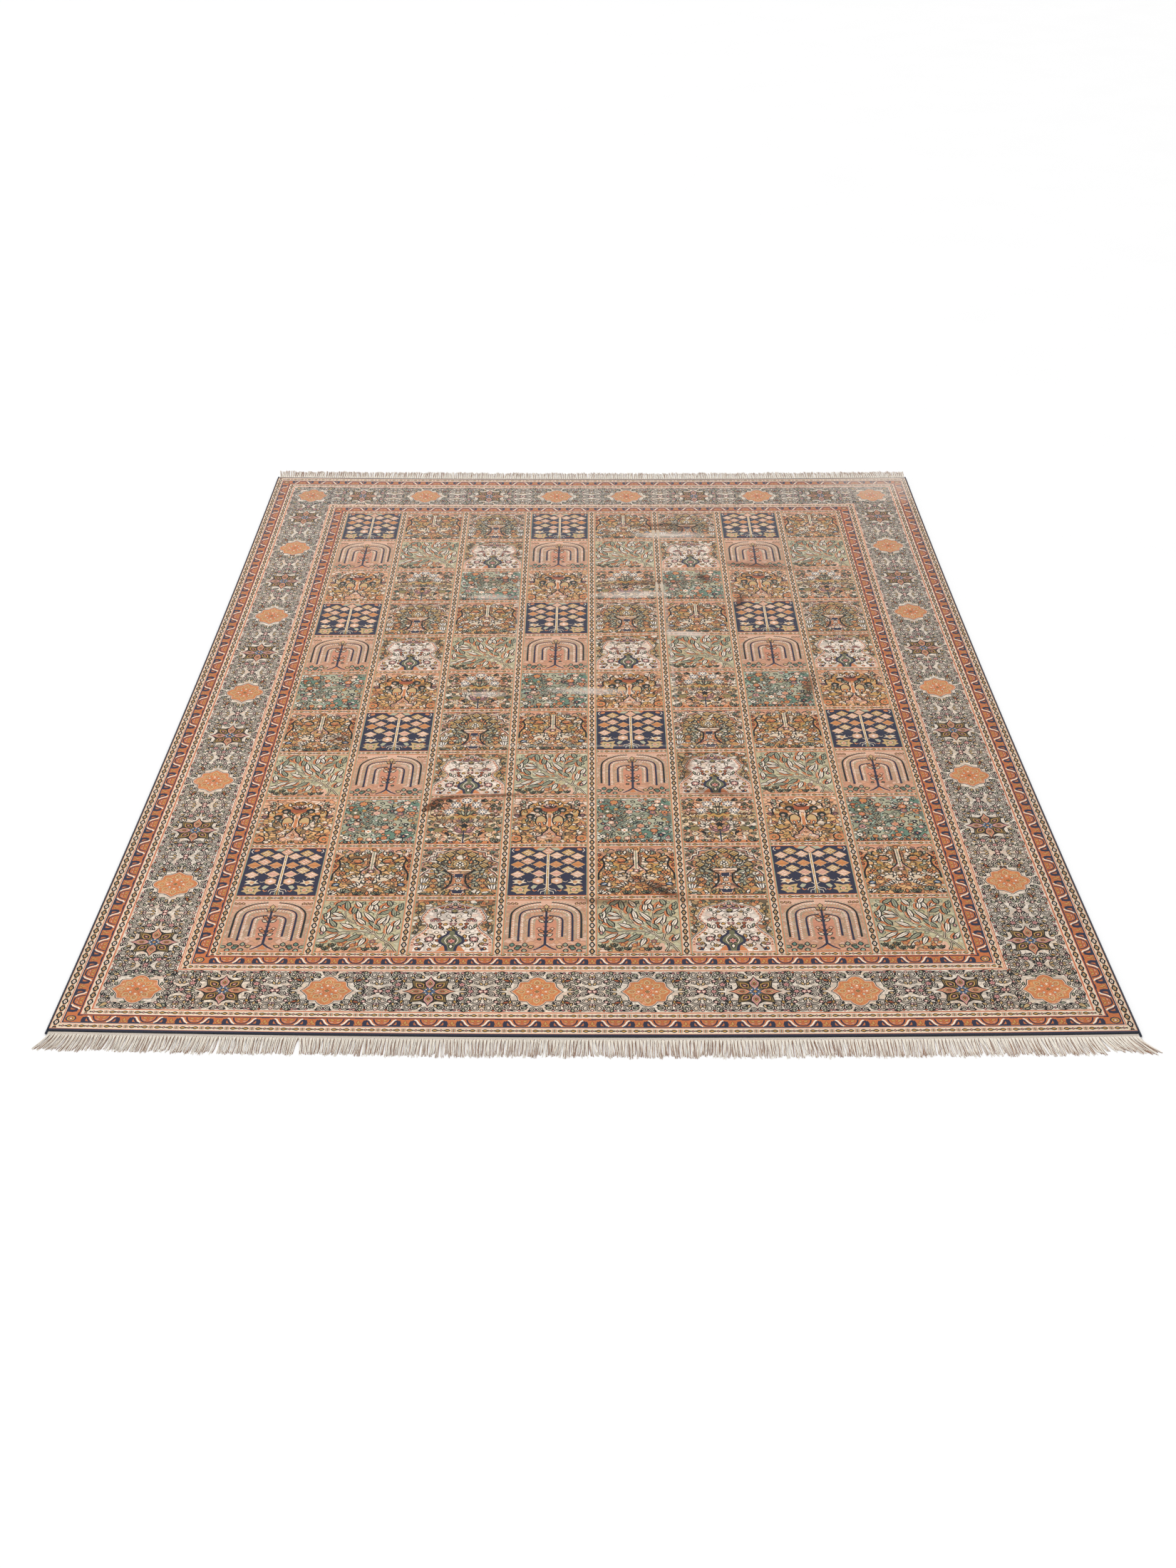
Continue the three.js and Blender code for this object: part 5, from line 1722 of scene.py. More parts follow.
def silk_pile():
    finish = Finish("silk pile", Sheen_Weight=0.06, Sheen_Roughness=0.4, Specular_IOR_Level=0.2)
    place, x, y, _ = finish.place()
    yarn = with_beads(finish, finish.node("ShaderNodeAttribute", {"attribute_name": "yarn"}).outputs["Color"])
    knot_x, knot_y = x / (KNOT_ACROSS * MM), y / (KNOT_ALONG * MM)
    cell = finish.node("ShaderNodeCombineXYZ", inputs={"X": knot_x.math("FLOOR"), "Y": knot_y.math("FLOOR")})
    knot = finish.value("ShaderNodeTexWhiteNoise", "Value", {"noise_dimensions": "2D"},
                        {"Vector": cell.outputs[0]})
    yarn = with_figures(finish, yarn, cell.outputs[0])
    bands = finish.noise(place, 1.0, 3.0, (2.0, 26.0, 1.0))
    cloud = finish.noise(place, 5.0, 3.0)
    # Knot and band are dye. The slow cloud is partly dye and partly painted sheen, and the x term is painted
    # shade, darker towards the right.
    light = 0.92 + knot * 0.26 + (bands - 0.5) * 0.30 + (cloud - 0.5) * 0.30 - x * 0.07
    shaded = finish.node("ShaderNodeHueSaturation", inputs={"Color": yarn, "Value": light})
    ruddy_and_far_sheen = finish.mix((cloud - 0.40).clamp() * 1.6, shaded.outputs[0], (1.0, 0.90, 0.80, 1.0), "MULTIPLY")
    # Painted sheen: paler and greyer towards the far end.
    ruddy_and_far_sheen = finish.mix(((y - 0.1) * 0.06).clamp(), ruddy_and_far_sheen, (0.75, 0.73, 0.72, 1.0))
    # Painted sheen: the pale bands, and painted glints in thin streaks, more towards the far end.
    streaks = finish.noise(place, 1.0, 4.0, (9.0, 75.0, 1.0))
    painted_glints = ((streaks - 0.58) * 5.0).clamp() * ((y + 0.7) * 0.4).clamp()
    pale = painted_bands(x, y, PAINTED_SHEEN_BANDS) * (streaks * 1.6) + painted_glints * 0.35
    with_painted_light = finish.mix(pale.clamp() * 0.75, ruddy_and_far_sheen, (0.80, 0.70, 0.62, 1.0))
    # Painted shade: dark brown bands at the folds, broken up by the streaks.
    dark = (painted_bands(x, y, PAINTED_FOLD_SHADE) * (streaks * 3.0 - 0.4)).clamp()
    with_painted_light = finish.mix(dark, with_painted_light, (0.34, 0.20, 0.11, 1.0), "MULTIPLY")
    finish.set("Base Color", with_painted_light)
    finish.set("Roughness", 0.52 + knot * 0.16)
    rows = (knot_y * (2 * math.pi)).sine() * 0.5 + (knot_x * (2 * math.pi)).sine() * 0.25
    tufts = finish.noise(place, 700.0, 2.0)
    finish.bump(rows * 0.5 + tufts + knot * 0.6, 0.55, 0.45 * MM)
    return finish.material


silk = silk_pile()
print("made", silk.name)

# %% [markdown]
# ## Tiles
#
# The pile is laid as ten by thirteen tiles, whose joints run through the middle of the bead chains. A
# garden is cut once and only moved for every panel that shows it. The border tiles are cut from the
# border card, each with the shapes that touch it.

# %% Tiles
COLUMN_EDGES = [-CLOTH_X, *COLUMN_LINES, CLOTH_X]
ROW_EDGES = [-CLOTH_Y, *ROW_LINES, CLOTH_Y]


def shapes_in(shapes, x0, y0, x1, y1):
    """The shapes whose box touches a rectangle."""
    found = []
    for outline, yarn in shapes:
        xs, ys = [p[0] for p in outline], [p[1] for p in outline]
        if min(xs) < x1 and max(xs) > x0 and min(ys) < y1 and max(ys) > y0:
            found.append((outline, yarn))
    return found


cut_gardens = {}
for letter in GARDENS:
    garden_card = Card()
    panel_tile(garden_card, letter)
    cut_gardens[letter] = cut_tile(garden_card.shapes, -COLUMN_PITCH / 2, -ROW_PITCH / 2,
                                   COLUMN_PITCH / 2, ROW_PITCH / 2)

tiles = []
for row, (y0, y1) in enumerate(zip(ROW_EDGES, ROW_EDGES[1:])):
    for column, (x0, x1) in enumerate(zip(COLUMN_EDGES, COLUMN_EDGES[1:])):
        if 0 < row <= ROWS and 0 < column <= COLUMNS:
            flat, triangles, yarns = cut_gardens[GARDEN_ROWS[ROWS - row][column - 1]]
            flat = flat + ((x0 + x1) / 2, (y0 + y1) / 2)
        else:
            flat, triangles, yarns = cut_tile(shapes_in(borders.shapes, x0, y0, x1, y1), x0, y0, x1, y1)
        tiles.append(lay_tile(f"pile_{row:02d}_{column:02d}", flat, triangles, yarns, silk))
print(len(tiles), "tiles,", sum(len(tile.data.polygons) for tile in tiles), "triangles; gardens",
      {letter: len(cut[1]) for letter, cut in cut_gardens.items()})

# %% [markdown]
# ## The foundation
#
# Under the pile lies the woven ground: cotton warps and wefts that hold the knots. It is one closed
# thin sheet. Its top stays a millimetre under the tiles and rises to them at the rim, where the navy
# edge shows as a thin wall, and its underside lies flat on the floor.

# %% Foundation
def woven_cotton(name, base, pitch_mm=1.1, strength=0.5, shade=0.35):
    """Plain weave in a pale yarn, with over-and-under relief. shade is how dark the painted shade in the
    hollows is.
    """
    finish = Finish(name, Sheen_Weight=0.15)
    place, x, y, _ = finish.place()
    warp = (x * (2 * math.pi / (pitch_mm * MM))).sine()
    weft = (y * (2 * math.pi / (pitch_mm * MM))).sine()
    over = warp * weft
    slub = finish.noise(place, 160.0, 3.0)
    tone = finish.mix((slub * 1.6 - 0.4).clamp(), colour(base), colour("ivory"))
    # Painted shade: the hollows of the weave are painted darker, towards brown.
    finish.set("Base Color", finish.mix((0.5 - over * 0.5) * shade, tone, colour("brown")))
    finish.set("Roughness", 0.78 + slub * 0.15)
    finish.bump(over + slub, strength, 0.4 * MM)
    return finish.material


def navy_wool(name, pitch_mm):
    """Dark yarn with the slanting twist of its plies."""
    finish = Finish(name, Sheen_Weight=0.25)
    place, x, y, z = finish.place()
    cloud = finish.noise(place, 220.0, 3.0)
    twist = ((y + z * 0.8 + x * 0.3) * (2 * math.pi / (pitch_mm * MM))).sine()
    tone = finish.mix((cloud * 1.8 - 0.5).clamp(), colour("ink"), colour("navy"))
    # Painted highlight: the crests of the twist are painted a lighter blue.
    finish.set("Base Color", finish.mix((twist * 0.5 + 0.5) * 0.25, tone, colour("blue")))
    finish.set("Roughness", 0.74 + cloud * 0.16)
    finish.bump(twist * 0.6 + cloud, 0.6, 0.35 * MM)
    return finish.material


cotton_back = woven_cotton("cotton back", "cream")
navy_yarn = navy_wool("navy wool", 1.6)
FOUNDATION_STEPS_X, FOUNDATION_STEPS_Y = 36, 46
FOUNDATION_GAP, RIM_GAP = 1.0, 0.04  # under the pile, and at the rim, mm
RIM_WIDTH = 1.0


def grid_sheet(name, x_points, y_points, top_of, materials, wall_slot=0):
    """A closed sheet over a grid of the true rectangle, laid as woven, with its walls at the rim."""
    nx, ny = len(x_points), len(y_points)
    x, y = np.meshgrid(x_points, y_points)
    x, y = x.ravel(), y.ravel()
    woven_x, woven_y = as_woven(x, y)
    top = np.stack([woven_x, woven_y, top_of(x, y)], 1)
    low = np.stack([woven_x, woven_y, np.zeros_like(x)], 1)

    def at(i, j):
        return j * nx + i

    faces, slots = [], []
    for j in range(ny - 1):
        for i in range(nx - 1):
            quad = (at(i, j), at(i + 1, j), at(i + 1, j + 1), at(i, j + 1))
            faces += [quad, tuple(nx * ny + k for k in reversed(quad))]
            slots += [0, 0]
    rim = [at(i, 0) for i in range(nx)] + [at(nx - 1, j) for j in range(1, ny)]
    rim += [at(i, ny - 1) for i in range(nx - 2, -1, -1)] + [at(0, j) for j in range(ny - 2, 0, -1)]
    for a, b in zip(rim, rim[1:] + rim[:1]):
        faces.append((a, nx * ny + a, nx * ny + b, b))
        slots.append(wall_slot)
    piece = mesh_object(name, np.concatenate([top, low]) * MM, faces, materials)
    piece.data.polygons.foreach_set("material_index", slots)
    return piece


def foundation_top(x, y):
    covered = (np.abs(x) < CLOTH_X - RIM_WIDTH) & (np.abs(y) < CLOTH_Y - RIM_WIDTH)
    return CLOTH_THICKNESS + mounds(x, y, CREASES) - np.where(covered, FOUNDATION_GAP, RIM_GAP)


foundation = grid_sheet("foundation", np.linspace(-CLOTH_X, CLOTH_X, FOUNDATION_STEPS_X + 1),
                        np.linspace(-CLOTH_Y, CLOTH_Y, FOUNDATION_STEPS_Y + 1),
                        foundation_top, (cotton_back, navy_yarn), wall_slot=1)
print("foundation", [round(c, 3) for c in foundation.dimensions])

# %% [markdown]
# ## Flat-woven strips
#
# Each end closes with a narrow strip of plain weave in the pale warp itself. It is made like the
# foundation, as a closed sheet over a grid, but its top is rounded towards both edges and ripples a
# little from side to side.

# %% Strips
END_NAMES = {-1: "front", 1: "back"}
strip_weave = woven_cotton("strip weave", "white", 0.9, 0.7, shade=0.08)
STRIP_X = CLOTH_X - PIECE_GAP
STRIP_STEPS = 120
STRIP_RIPPLE = 0.18  # height of the ripples, mm


def strip(end):
    """The strip at one end, -1 for the near one and 1 for the far one."""
    inner = CLOTH_Y + PIECE_GAP
    across = np.linspace(-STRIP_X, STRIP_X, STRIP_STEPS + 1)
    depth = np.array([0, 0.12, 0.5, 0.88, 1.0]) * STRIP_DEPTH + inner
    along = depth if end > 0 else -depth[::-1]

    def top_of(x, y):
        s = (np.abs(y) - inner) / STRIP_DEPTH
        rounded = 1 - np.abs(2 * s - 1) ** 4 * 0.55
        return STRIP_THICKNESS * rounded + STRIP_RIPPLE * np.sin(x * 0.9) * (1 - np.abs(2 * s - 1))

    return grid_sheet("strip_" + END_NAMES[end], across, along, top_of, (strip_weave,))


strips = {end: strip(end) for end in (-1, 1)}
print("strips", STRIP_DEPTH, "mm deep")

# %% [markdown]
# ## Growing what repeats
#
# The wraps, the stitches and the strands of the fringe are hundreds of nearly equal small things. They
# could be placed by a loop, but a geometry tree does it faster and keeps its few sizes as named inputs.
# A tree is built from those inputs, run once on a curve that carries the path, and its result is kept
# as a plain mesh. Each tree ends by making its instances real and giving them their yarn.

# %% Geometry Nodes helpers
def node_tree(name, inputs):
    """An empty geometry tree with named inputs: (name, kind, value)."""
    tree = bpy.data.node_groups.new(name, "GeometryNodeTree")
    tree.interface.new_socket("Geometry", in_out="INPUT", socket_type="NodeSocketGeometry")
    tree.interface.new_socket("Geometry", in_out="OUTPUT", socket_type="NodeSocketGeometry")
    for label, kind, value in inputs:
        socket = tree.interface.new_socket(label, in_out="INPUT", socket_type=kind)
        socket.default_value = value
    return tree, tree.nodes.new("NodeGroupInput"), tree.nodes.new("NodeGroupOutput")


def add(tree, kind, settings=None, inputs=None):
    """A node with its settings first, then its values and links."""
    node = tree.nodes.new(kind)
    for name, value in (settings or {}).items():
        setattr(node, name, value)
    for key, value in (inputs or {}).items():
        if isinstance(value, bpy.types.NodeSocket):
            tree.links.new(value, node.inputs[key])
        else:
            node.inputs[key].default_value = value
    return node


def points_every(tree, start, length):
    """Points along the incoming curve, one for each of the lengths in a named input."""
    return add(tree, "GeometryNodeCurveToPoints", {"mode": "LENGTH"},
               {"Curve": start.outputs["Geometry"], "Length": start.outputs[length]})


def close_tree(tree, geometry, yarn, end):
    """Make instances real, give them their yarn and pass them on."""
    real = add(tree, "GeometryNodeRealizeInstances", inputs={"Geometry": geometry})
    dyed = add(tree, "GeometryNodeSetMaterial", inputs={"Geometry": real.outputs[0], "Material": yarn})
    tree.links.new(dyed.outputs[0], end.inputs[0])
    return tree


def circle(tree, corners, radius):
    """A circle with a few corners, whose radius is a named input's socket."""
    return add(tree, "GeometryNodeCurvePrimitiveCircle", inputs={"Resolution": corners, "Radius": radius})


def grown(carrier, tree, values, name):
    """Run a tree on a carrier object and keep the result as a plain mesh at the origin."""
    modifier = carrier.modifiers.new("grow", "NODES")
    modifier.node_group = tree
    for item in tree.interface.items_tree:
        if item.in_out == "INPUT" and item.name in values:
            modifier[item.identifier] = values[item.name]
    graph = bpy.context.evaluated_depsgraph_get()
    mesh = bpy.data.meshes.new_from_object(carrier.evaluated_get(graph))
    mesh.name = name
    carrier.modifiers.remove(modifier)
    bpy.data.objects.remove(carrier)
    return linked(name, mesh)


def path_curve(name, lines, tones=None):
    """A curve object with one open spline for each line of points, in metres. Tones are kept as radius."""
    data = bpy.data.curves.new(name, "CURVE")
    data.dimensions = "3D"
    for number, line in enumerate(lines):
        spline = data.splines.new("POLY")
        spline.points.add(len(line) - 1)
        for point, place in zip(spline.points, line):
            point.co = (*place, 1.0)
            point.radius = 1.0 if tones is None else tones[number]
    return linked(name, data)


print("helpers: node_tree, add, points_every, close_tree, circle, grown, path_curve")

# %% [markdown]
# ## Side cords
#
# Each long side is overcast: navy yarn goes round a bundle of warps, over and over. Here the bundle is
# a plain core, and Geometry Nodes lays one slightly tilted ring of yarn after another along it. A ring
# for each wrap is simpler than one long helix, and from outside it looks much the same.

# %% Side cords
CORD_NAMES = {-1: "side_cord_left", 1: "side_cord_right"}
CORE_SHARE, YARN_SHARE = 0.74, 0.26  # the core and the yarn's own radius, as shares of the cord's
CORE_SIDES = 8
CORD_STEPS = 120
WRAP_PITCH = 3.0  # mm
WRAP_TILT = math.radians(14)


def wrap_tree():
    """Wraps set one behind the other on a path: each is a slightly tilted ring of yarn."""
    tree, start, end = node_tree("overcast wraps", (("Wrap pitch", "NodeSocketFloat", 0.003),
                                                    ("Cord radius", "NodeSocketFloat", 0.002),
                                                    ("Yarn radius", "NodeSocketFloat", 0.0006),
                                                    ("Yarn", "NodeSocketMaterial", None)))
    points = points_every(tree, start, "Wrap pitch")
    ring_curve = circle(tree, 5, start.outputs["Cord radius"])
    section = circle(tree, 3, start.outputs["Yarn radius"])
    ring_mesh = add(tree, "GeometryNodeCurveToMesh",
                    inputs={"Curve": ring_curve.outputs[0], "Profile Curve": section.outputs[0]})
    tilt = add(tree, "FunctionNodeRotateEuler", {"space": "LOCAL"},
               {"Rotation": points.outputs["Rotation"], "Rotate By": (WRAP_TILT, 0.0, 0.0)})
    wraps = add(tree, "GeometryNodeInstanceOnPoints",
                inputs={"Points": points.outputs["Points"], "Instance": ring_mesh.outputs[0],
                        "Rotation": tilt.outputs[0]})
    return close_tree(tree, wraps.outputs[0], start.outputs["Yarn"], end)


def side_cord(side):
    """The core and the wraps of one cord, -1 for the left one and 1 for the right one."""
    radius = CORD_DIAMETER / 2
    along = np.linspace(-(CLOTH_Y + CORD_OVERHANG), CLOTH_Y + CORD_OVERHANG, CORD_STEPS + 1)
    x, y = as_woven(np.full_like(along, side * (RUG_WIDTH / 2 - radius)), along)
    path = np.stack([x, y, np.full_like(x, radius)], 1) * MM
    core = CORE_SHARE * radius * MM
    points, faces = [], []
    for k, (px, py, pz) in enumerate(path):
        for s in range(CORE_SIDES):
            a = 2 * math.pi * s / CORE_SIDES
            points.append((px + core * math.cos(a), py, pz + core * math.sin(a)))
        if k:
            base = CORE_SIDES * (k - 1)
            faces += [(base + s, base + (s + 1) % CORE_SIDES, base + CORE_SIDES + (s + 1) % CORE_SIDES,
                       base + CORE_SIDES + s) for s in range(CORE_SIDES)]
    faces += [tuple(reversed(range(CORE_SIDES))),
              tuple(CORE_SIDES * (len(path) - 1) + s for s in range(CORE_SIDES))]
    name = CORD_NAMES[side]
    bar = mesh_object(name + "_core", points, [f[::-1] for f in faces], (navy_yarn,), smooth=True)
    wraps = grown(path_curve(name, [path]), wrap_tree(),
                  {"Wrap pitch": WRAP_PITCH * MM, "Cord radius": core,
                   "Yarn radius": YARN_SHARE * radius * MM, "Yarn": navy_yarn}, name + "_wraps")
    return bar, wraps


cords = {side: side_cord(side) for side in (-1, 1)}
print("wraps on one side:", len(cords[1][1].data.polygons) // 28)

# %% [markdown]
# ## The line of stitches
#
# A zigzag of dark thread holds the flat-woven strip where the warps leave it. Each stitch is one small
# grain of thread, set along a path and turned to the left and the right by its number in the row.

# %% Stitches
STITCH_PITCH = 4.6  # mm
STITCH_SLANT = 0.6  # radians
STITCH_STEPS = 120
STITCH_MARGIN = 3.0  # from the last stitch to the end of the strip, mm
STITCH_PLACE = (0.84, 0.86)  # how far out on the strip and how high, as shares of its depth and height
STITCH_SIZE = (1.7, 0.55, 0.45)  # half length, half width, half height, mm


def stitch_tree():
    """Small grains of thread along a path, turned this way and that."""
    tree, start, end = node_tree("zigzag stitches", (("Stitch pitch", "NodeSocketFloat", 0.005),
                                                     ("Slant", "NodeSocketFloat", 0.6),
                                                     ("Thread", "NodeSocketMaterial", None)))
    points = points_every(tree, start, "Stitch pitch")
    grain = add(tree, "GeometryNodeMeshUVSphere", inputs={"Segments": 4, "Rings": 2, "Radius": MM})
    odd = add(tree, "ShaderNodeMath", {"operation": "FLOORED_MODULO"},
              {0: add(tree, "GeometryNodeInputIndex").outputs[0], 1: 2.0})
    side = add(tree, "ShaderNodeMath", {"operation": "MULTIPLY_ADD"}, {0: odd.outputs[0], 1: 2.0, 2: -1.0})
    slant = add(tree, "ShaderNodeMath", {"operation": "MULTIPLY"},
                {0: side.outputs[0], 1: start.outputs["Slant"]})
    turn = add(tree, "ShaderNodeCombineXYZ", inputs={"Z": slant.outputs[0]})
    laid = add(tree, "GeometryNodeInstanceOnPoints",
               inputs={"Points": points.outputs["Points"], "Instance": grain.outputs[0],
                       "Rotation": turn.outputs[0], "Scale": STITCH_SIZE})
    return close_tree(tree, laid.outputs[0], start.outputs["Thread"], end)


def stitch_row(end):
    out, up = STITCH_PLACE
    along = np.linspace(-STRIP_X + STITCH_MARGIN, STRIP_X - STITCH_MARGIN, STITCH_STEPS + 1)
    x, y = as_woven(along, np.full_like(along, end * (CLOTH_Y + PIECE_GAP + out * STRIP_DEPTH)))
    path = np.stack([x, y, np.full_like(x, up * STRIP_THICKNESS)], 1) * MM
    name = "stitches_" + END_NAMES[end]
    return grown(path_curve(name, [path]), stitch_tree(),
                 {"Stitch pitch": STITCH_PITCH * MM, "Slant": STITCH_SLANT, "Thread": navy_yarn}, name)


stitches = {end: stitch_row(end) for end in (-1, 1)}
print("stitches at one end:", len(stitches[1].data.polygons) // 8)

# %% [markdown]
# ## Fringe
#
# The fringe is the rug's own warps, left long and lying flat. They run together in small locks that
# follow the lean of the solids: spread outwards at the near corners, with a few partings. The path of
# each strand is worked out here, and Geometry Nodes gives all of them their thickness.

# %% Fringe strands
FRINGES = {"front": {"end": -1, "length": 45, "lean_left": 15, "lean_right": 28, "ragged": 4},
           "back": {"end": 1, "length": 48, "lean_left": 6, "lean_right": 4, "ragged": 5}}
CORNER_LEAN_REACH = 90.0
PARTINGS = ((-617, 2.6, 12), (-490, 3.4, 14), (640, 2.4, 12), (838, 3, 10))  # front only: place, swing, reach
SHORT_PATCHES = ((852, 20, 0.2), (-705, 12, 0.1))  # front only: place, half width, how much is missing
TIP_WAVES = ((1.6, 295, 0), (1.2, 120, 1), (1.0, 34, 2))
LOCKS_PER_END = 300
UPPER_STRANDS, UNDER_STRANDS = 3, 2  # of each lock; the under ones lie in the shade between two locks
STRAND_POINTS = 5
LOCK_BEND = 1.4
STRAND_RADIUS = 0.95  # mm
ROOT_WIDTH, TIP_WIDTH = 1.15, 0.62  # of a strand, against its radius
ROOT_OVERLAP = 1.5  # how far the strands start inside the strip, mm


def tip_swing(fringe, x):
    """How far to the right a lock's tip lies of its root, in mm."""
    swing = fringe["lean_right"] * math.exp(-(STRIP_X - x) / CORNER_LEAN_REACH)
    swing -= fringe["lean_left"] * math.exp(-(STRIP_X + x) / CORNER_LEAN_REACH)
    return swing + sum(size * math.sin(2 * math.pi * x / wave + start) for size, wave, start in TIP_WAVES)


def strand_paths(name):
    """The middle line and the tone, 0 dark to 1 pale, of every strand of one end."""
    fringe, chance = FRINGES[name], np.random.default_rng(31 if name == "front" else 47)
    pitch = 2 * STRIP_X / LOCKS_PER_END
    root_y = CLOTH_Y + PIECE_GAP + STRIP_DEPTH - ROOT_OVERLAP
    lines, tones = [], []
    for lock in range(LOCKS_PER_END):
        middle = -STRIP_X + pitch * (lock + 0.5)
        swing = tip_swing(fringe, middle) + chance.normal(0, 0.7)
        aside = sum(math.copysign(size, middle - place) * math.exp(-abs(middle - place) / reach)
                    for place, size, reach in (PARTINGS if name == "front" else ()))
        length = fringe["length"] + fringe["ragged"] * chance.uniform(-0.9, 0.7)
        for place, half, missing in SHORT_PATCHES if name == "front" else ():
            if abs(middle - place) < half:
                length *= 1 - missing * chance.uniform(0.4, 1.2)
        gather, lock_tone = chance.uniform(0.3, 0.8), chance.uniform(-0.22, 0.12)
        for strand in range(UPPER_STRANDS + UNDER_STRANDS):
            under = strand >= UPPER_STRANDS
            across = (strand - UPPER_STRANDS - 0.1) * 0.5 if under else (strand - 1) * 0.29
            reach = length * chance.uniform(0.84, 1.03) * (0.97 if under else 1.0)
            bow, lift = chance.uniform(-0.9, 0.9), 0.0 if under else chance.uniform(0.7, 1.5)
            points = []
            for k in range(STRAND_POINTS):
                s = k / (STRAND_POINTS - 1)
                held = 1 if under else 1 - gather * math.sin(math.pi * min(1.0, s * 1.15))
                x = middle + across * pitch * held
                x += swing * s**LOCK_BEND + aside * s**0.5 + bow * math.sin(math.pi * s) * (1 + s)
                y = root_y + s * (reach + ROOT_OVERLAP)
                z = 1.15 - 0.45 * s + lift * (1 - 0.7 * s)
                wx, wy = as_woven(x, fringe["end"] * y)
                points.append((wx * MM, wy * MM, z * MM))
            lines.append(points)
            # Under strands get a dark tone, which the yarn turns into painted shade between the locks.
            tone = chance.uniform(0.0, 0.34) if under else chance.uniform(0.6, 1.0) + lock_tone
            tones.append(min(1.0, tone))
    return lines, tones


def strand_tree():
    """Three-sided strands that grow thinner to the tip. The tone that came as radius is kept by name."""
    tree, start, end = node_tree("warp strands", (("Strand radius", "NodeSocketFloat", 0.0008),
                                                  ("Yarn", "NodeSocketMaterial", None)))
    section = circle(tree, 3, start.outputs["Strand radius"])
    kept = add(tree, "GeometryNodeStoreNamedAttribute", {"data_type": "FLOAT", "domain": "POINT"},
               {"Geometry": start.outputs["Geometry"], "Name": "tone",
                "Value": add(tree, "GeometryNodeInputRadius").outputs[0]})
    factor = add(tree, "GeometryNodeSplineParameter")
    taper = add(tree, "ShaderNodeMapRange",
                inputs={"Value": factor.outputs["Factor"], "From Min": 0.0, "From Max": 1.0,
                        "To Min": ROOT_WIDTH, "To Max": TIP_WIDTH})
    sized = add(tree, "GeometryNodeSetCurveRadius",
                inputs={"Curve": kept.outputs["Geometry"], "Radius": taper.outputs[0]})
    solid = add(tree, "GeometryNodeCurveToMesh",
                inputs={"Curve": sized.outputs[0], "Profile Curve": section.outputs[0], "Fill Caps": True})
    if "Scale" in solid.inputs:  # some releases take the taper here instead of from the curve's radius
        tree.links.new(taper.outputs[0], solid.inputs["Scale"])
    return close_tree(tree, solid.outputs[0], start.outputs["Yarn"], end)


def warp_yarn():
    """Cream warp, twisted from fine plies. It is painted beige where strands lie under others and towards the
    tips, as painted shade.
    """
    finish = Finish("pale warp", Sheen_Weight=0.1, Sheen_Roughness=0.5)
    place, x, y, _ = finish.place()
    tone = finish.value("ShaderNodeAttribute", "Fac", {"attribute_name": "tone"})
    far = y.size() * (1 / MM)
    tip = ((far - (CLOTH_Y + 22)) / 40).clamp()
    slub = finish.noise(place, 260.0, 3.0)
    # Painted shade: the low tones of the under strands, and the tips, turn brown.
    pale = (tone * 1.7 + 0.07 + (slub - 0.5) * 0.8 - tip * (1.3 - tone * 0.9)).clamp()
    finish.set("Base Color", finish.mix(pale, (0.36, 0.18, 0.10, 1.0), (1.0, 0.93, 0.82, 1.0)))
    finish.set("Roughness", 0.66 + slub * 0.2)
    twist = ((x + y * 0.7) * (2 * math.pi / (0.9 * MM))).sine()
    finish.bump(twist * 0.5 + slub, 0.5, 0.25 * MM)
    return finish.material


pale_warp = warp_yarn()
fringes = {name: grown(path_curve("fringe_" + name, *strand_paths(name)), strand_tree(),
                       {"Strand radius": STRAND_RADIUS * MM, "Yarn": pale_warp},
                       "strands_" + name) for name in FRINGES}
print({name: len(piece.data.polygons) for name, piece in fringes.items()}, "faces of fringe")

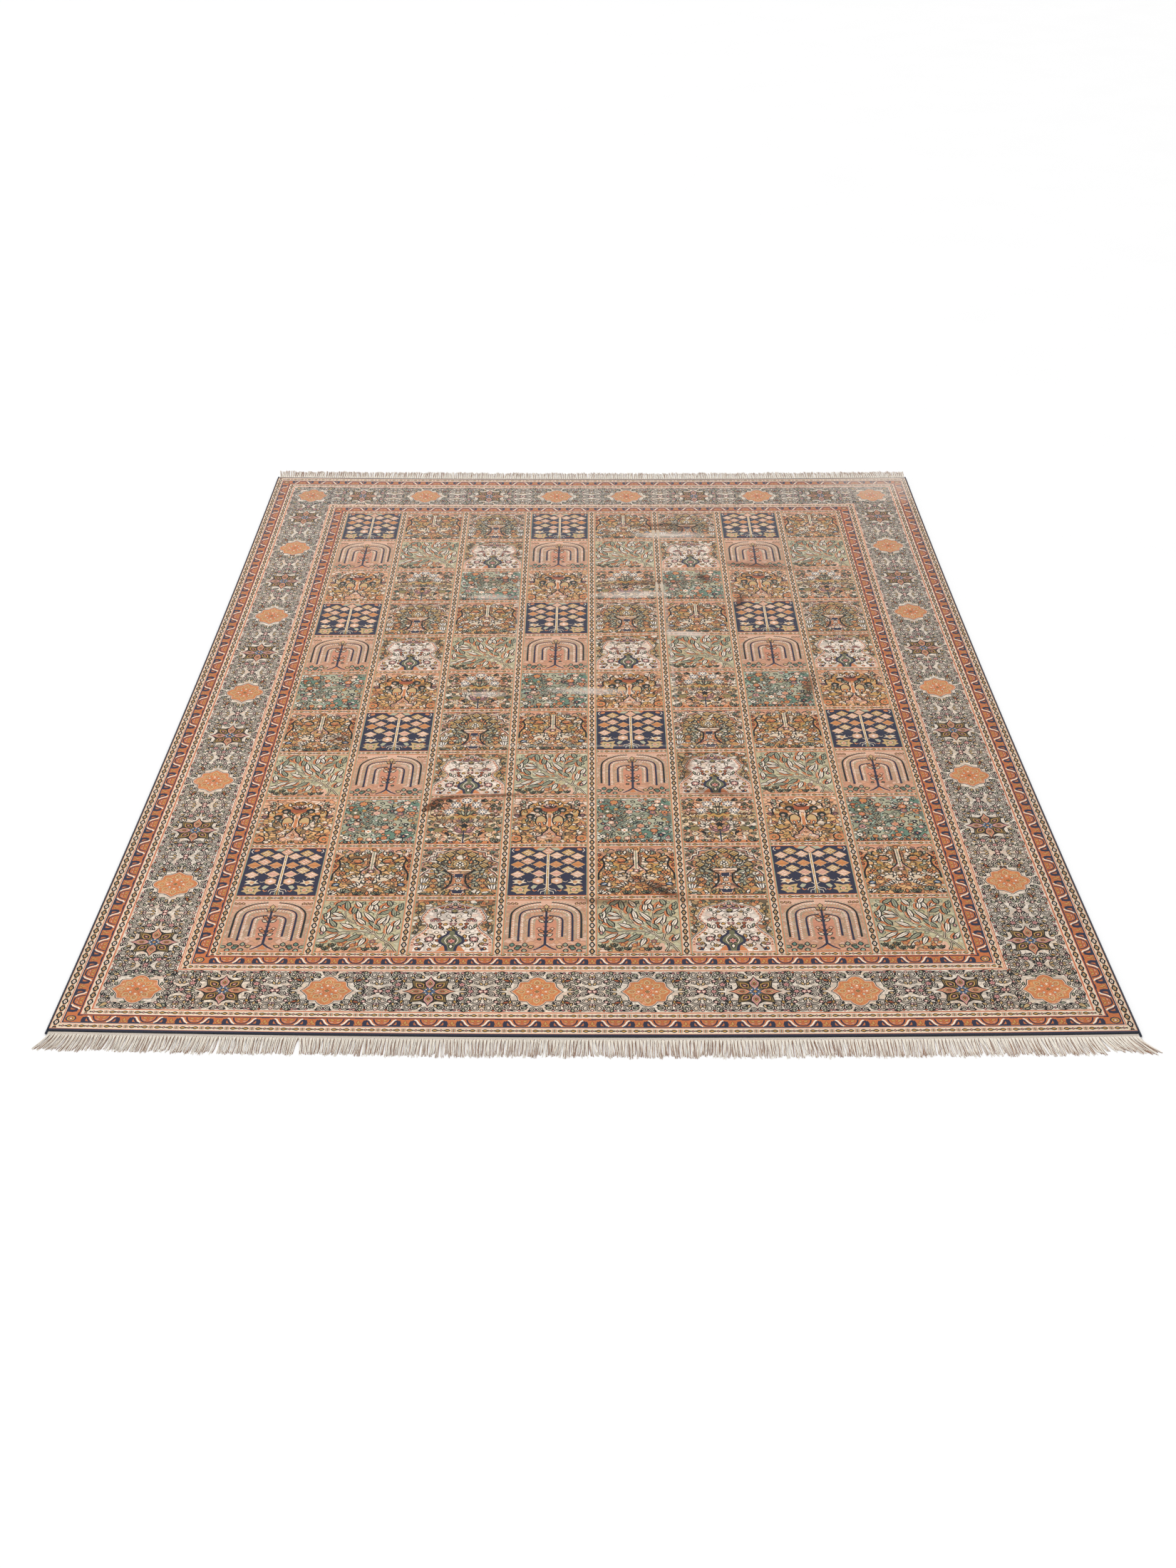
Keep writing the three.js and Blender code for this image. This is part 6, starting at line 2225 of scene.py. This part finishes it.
# %% [markdown]
# ## Floor and light
#
# The rug lies on a plain pale floor. One broad soft lamp stands high beyond the far left of the rug, and
# even light comes from all round, as in a studio, with a faint shadow under the fringe.

# %% Floor and lamps
FLOOR_HALF = 60.0
SUN_STRENGTH, SUN_SPREAD, SUN_TURNS = 1.1, 35, (-28, -14, 0)  # spread and turns in degrees
STUDIO_STRENGTH = 0.75
floor_finish = Finish("pale floor", Roughness=0.6)
floor_place, *_ = floor_finish.place()
floor_tone = floor_finish.mix(floor_finish.noise(floor_place, 3.0), (0.95, 0.95, 0.95, 1),
                              (0.98, 0.98, 0.98, 1))
floor_finish.set("Base Color", floor_tone)
floor_corners = [(x, y, 0.0) for x, y in box_points(-FLOOR_HALF, -FLOOR_HALF, FLOOR_HALF, FLOOR_HALF)]
floor = mesh_object("floor", floor_corners, [(0, 1, 2, 3)], (floor_finish.material,))

sun = linked("window", bpy.data.lights.new("window", "SUN"))
sun.data.energy = SUN_STRENGTH
sun.data.angle = math.radians(SUN_SPREAD)
sun.rotation_euler = [math.radians(turn) for turn in SUN_TURNS]
world = bpy.data.worlds.new("studio")
bpy.context.scene.world = world
world.use_nodes = True
world.node_tree.nodes["Background"].inputs["Color"].default_value = (1.0, 1.0, 1.0, 1.0)
world.node_tree.nodes["Background"].inputs["Strength"].default_value = STUDIO_STRENGTH
bpy.context.scene.view_settings.view_transform = "Standard"
print("one lamp", SUN_SPREAD, "degrees across, and even light of strength", STUDIO_STRENGTH)

# %% [markdown]
# ## Handing the pieces over
#
# Every piece rides on the one body, and the solid of the imported model that it stands for is hidden.
# The foundation stands for the knotted cloth and lies flat, and all the rest goes with it.

# %% Pieces on the body
for tile in tiles:
    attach(tile, "root")
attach(foundation, "root")
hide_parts("knotted_cloth")
trim = []
for side, (core, wraps) in cords.items():
    for piece in (core, wraps):
        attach(piece, "root")
        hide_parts(CORD_NAMES[side])
        trim.append(piece)
for name, strands in fringes.items():
    for piece in (strands, strips[FRINGES[name]["end"]], stitches[FRINGES[name]["end"]]):
        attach(piece, "root")
        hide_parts("fringe_" + name)
        trim.append(piece)
tiles + trim
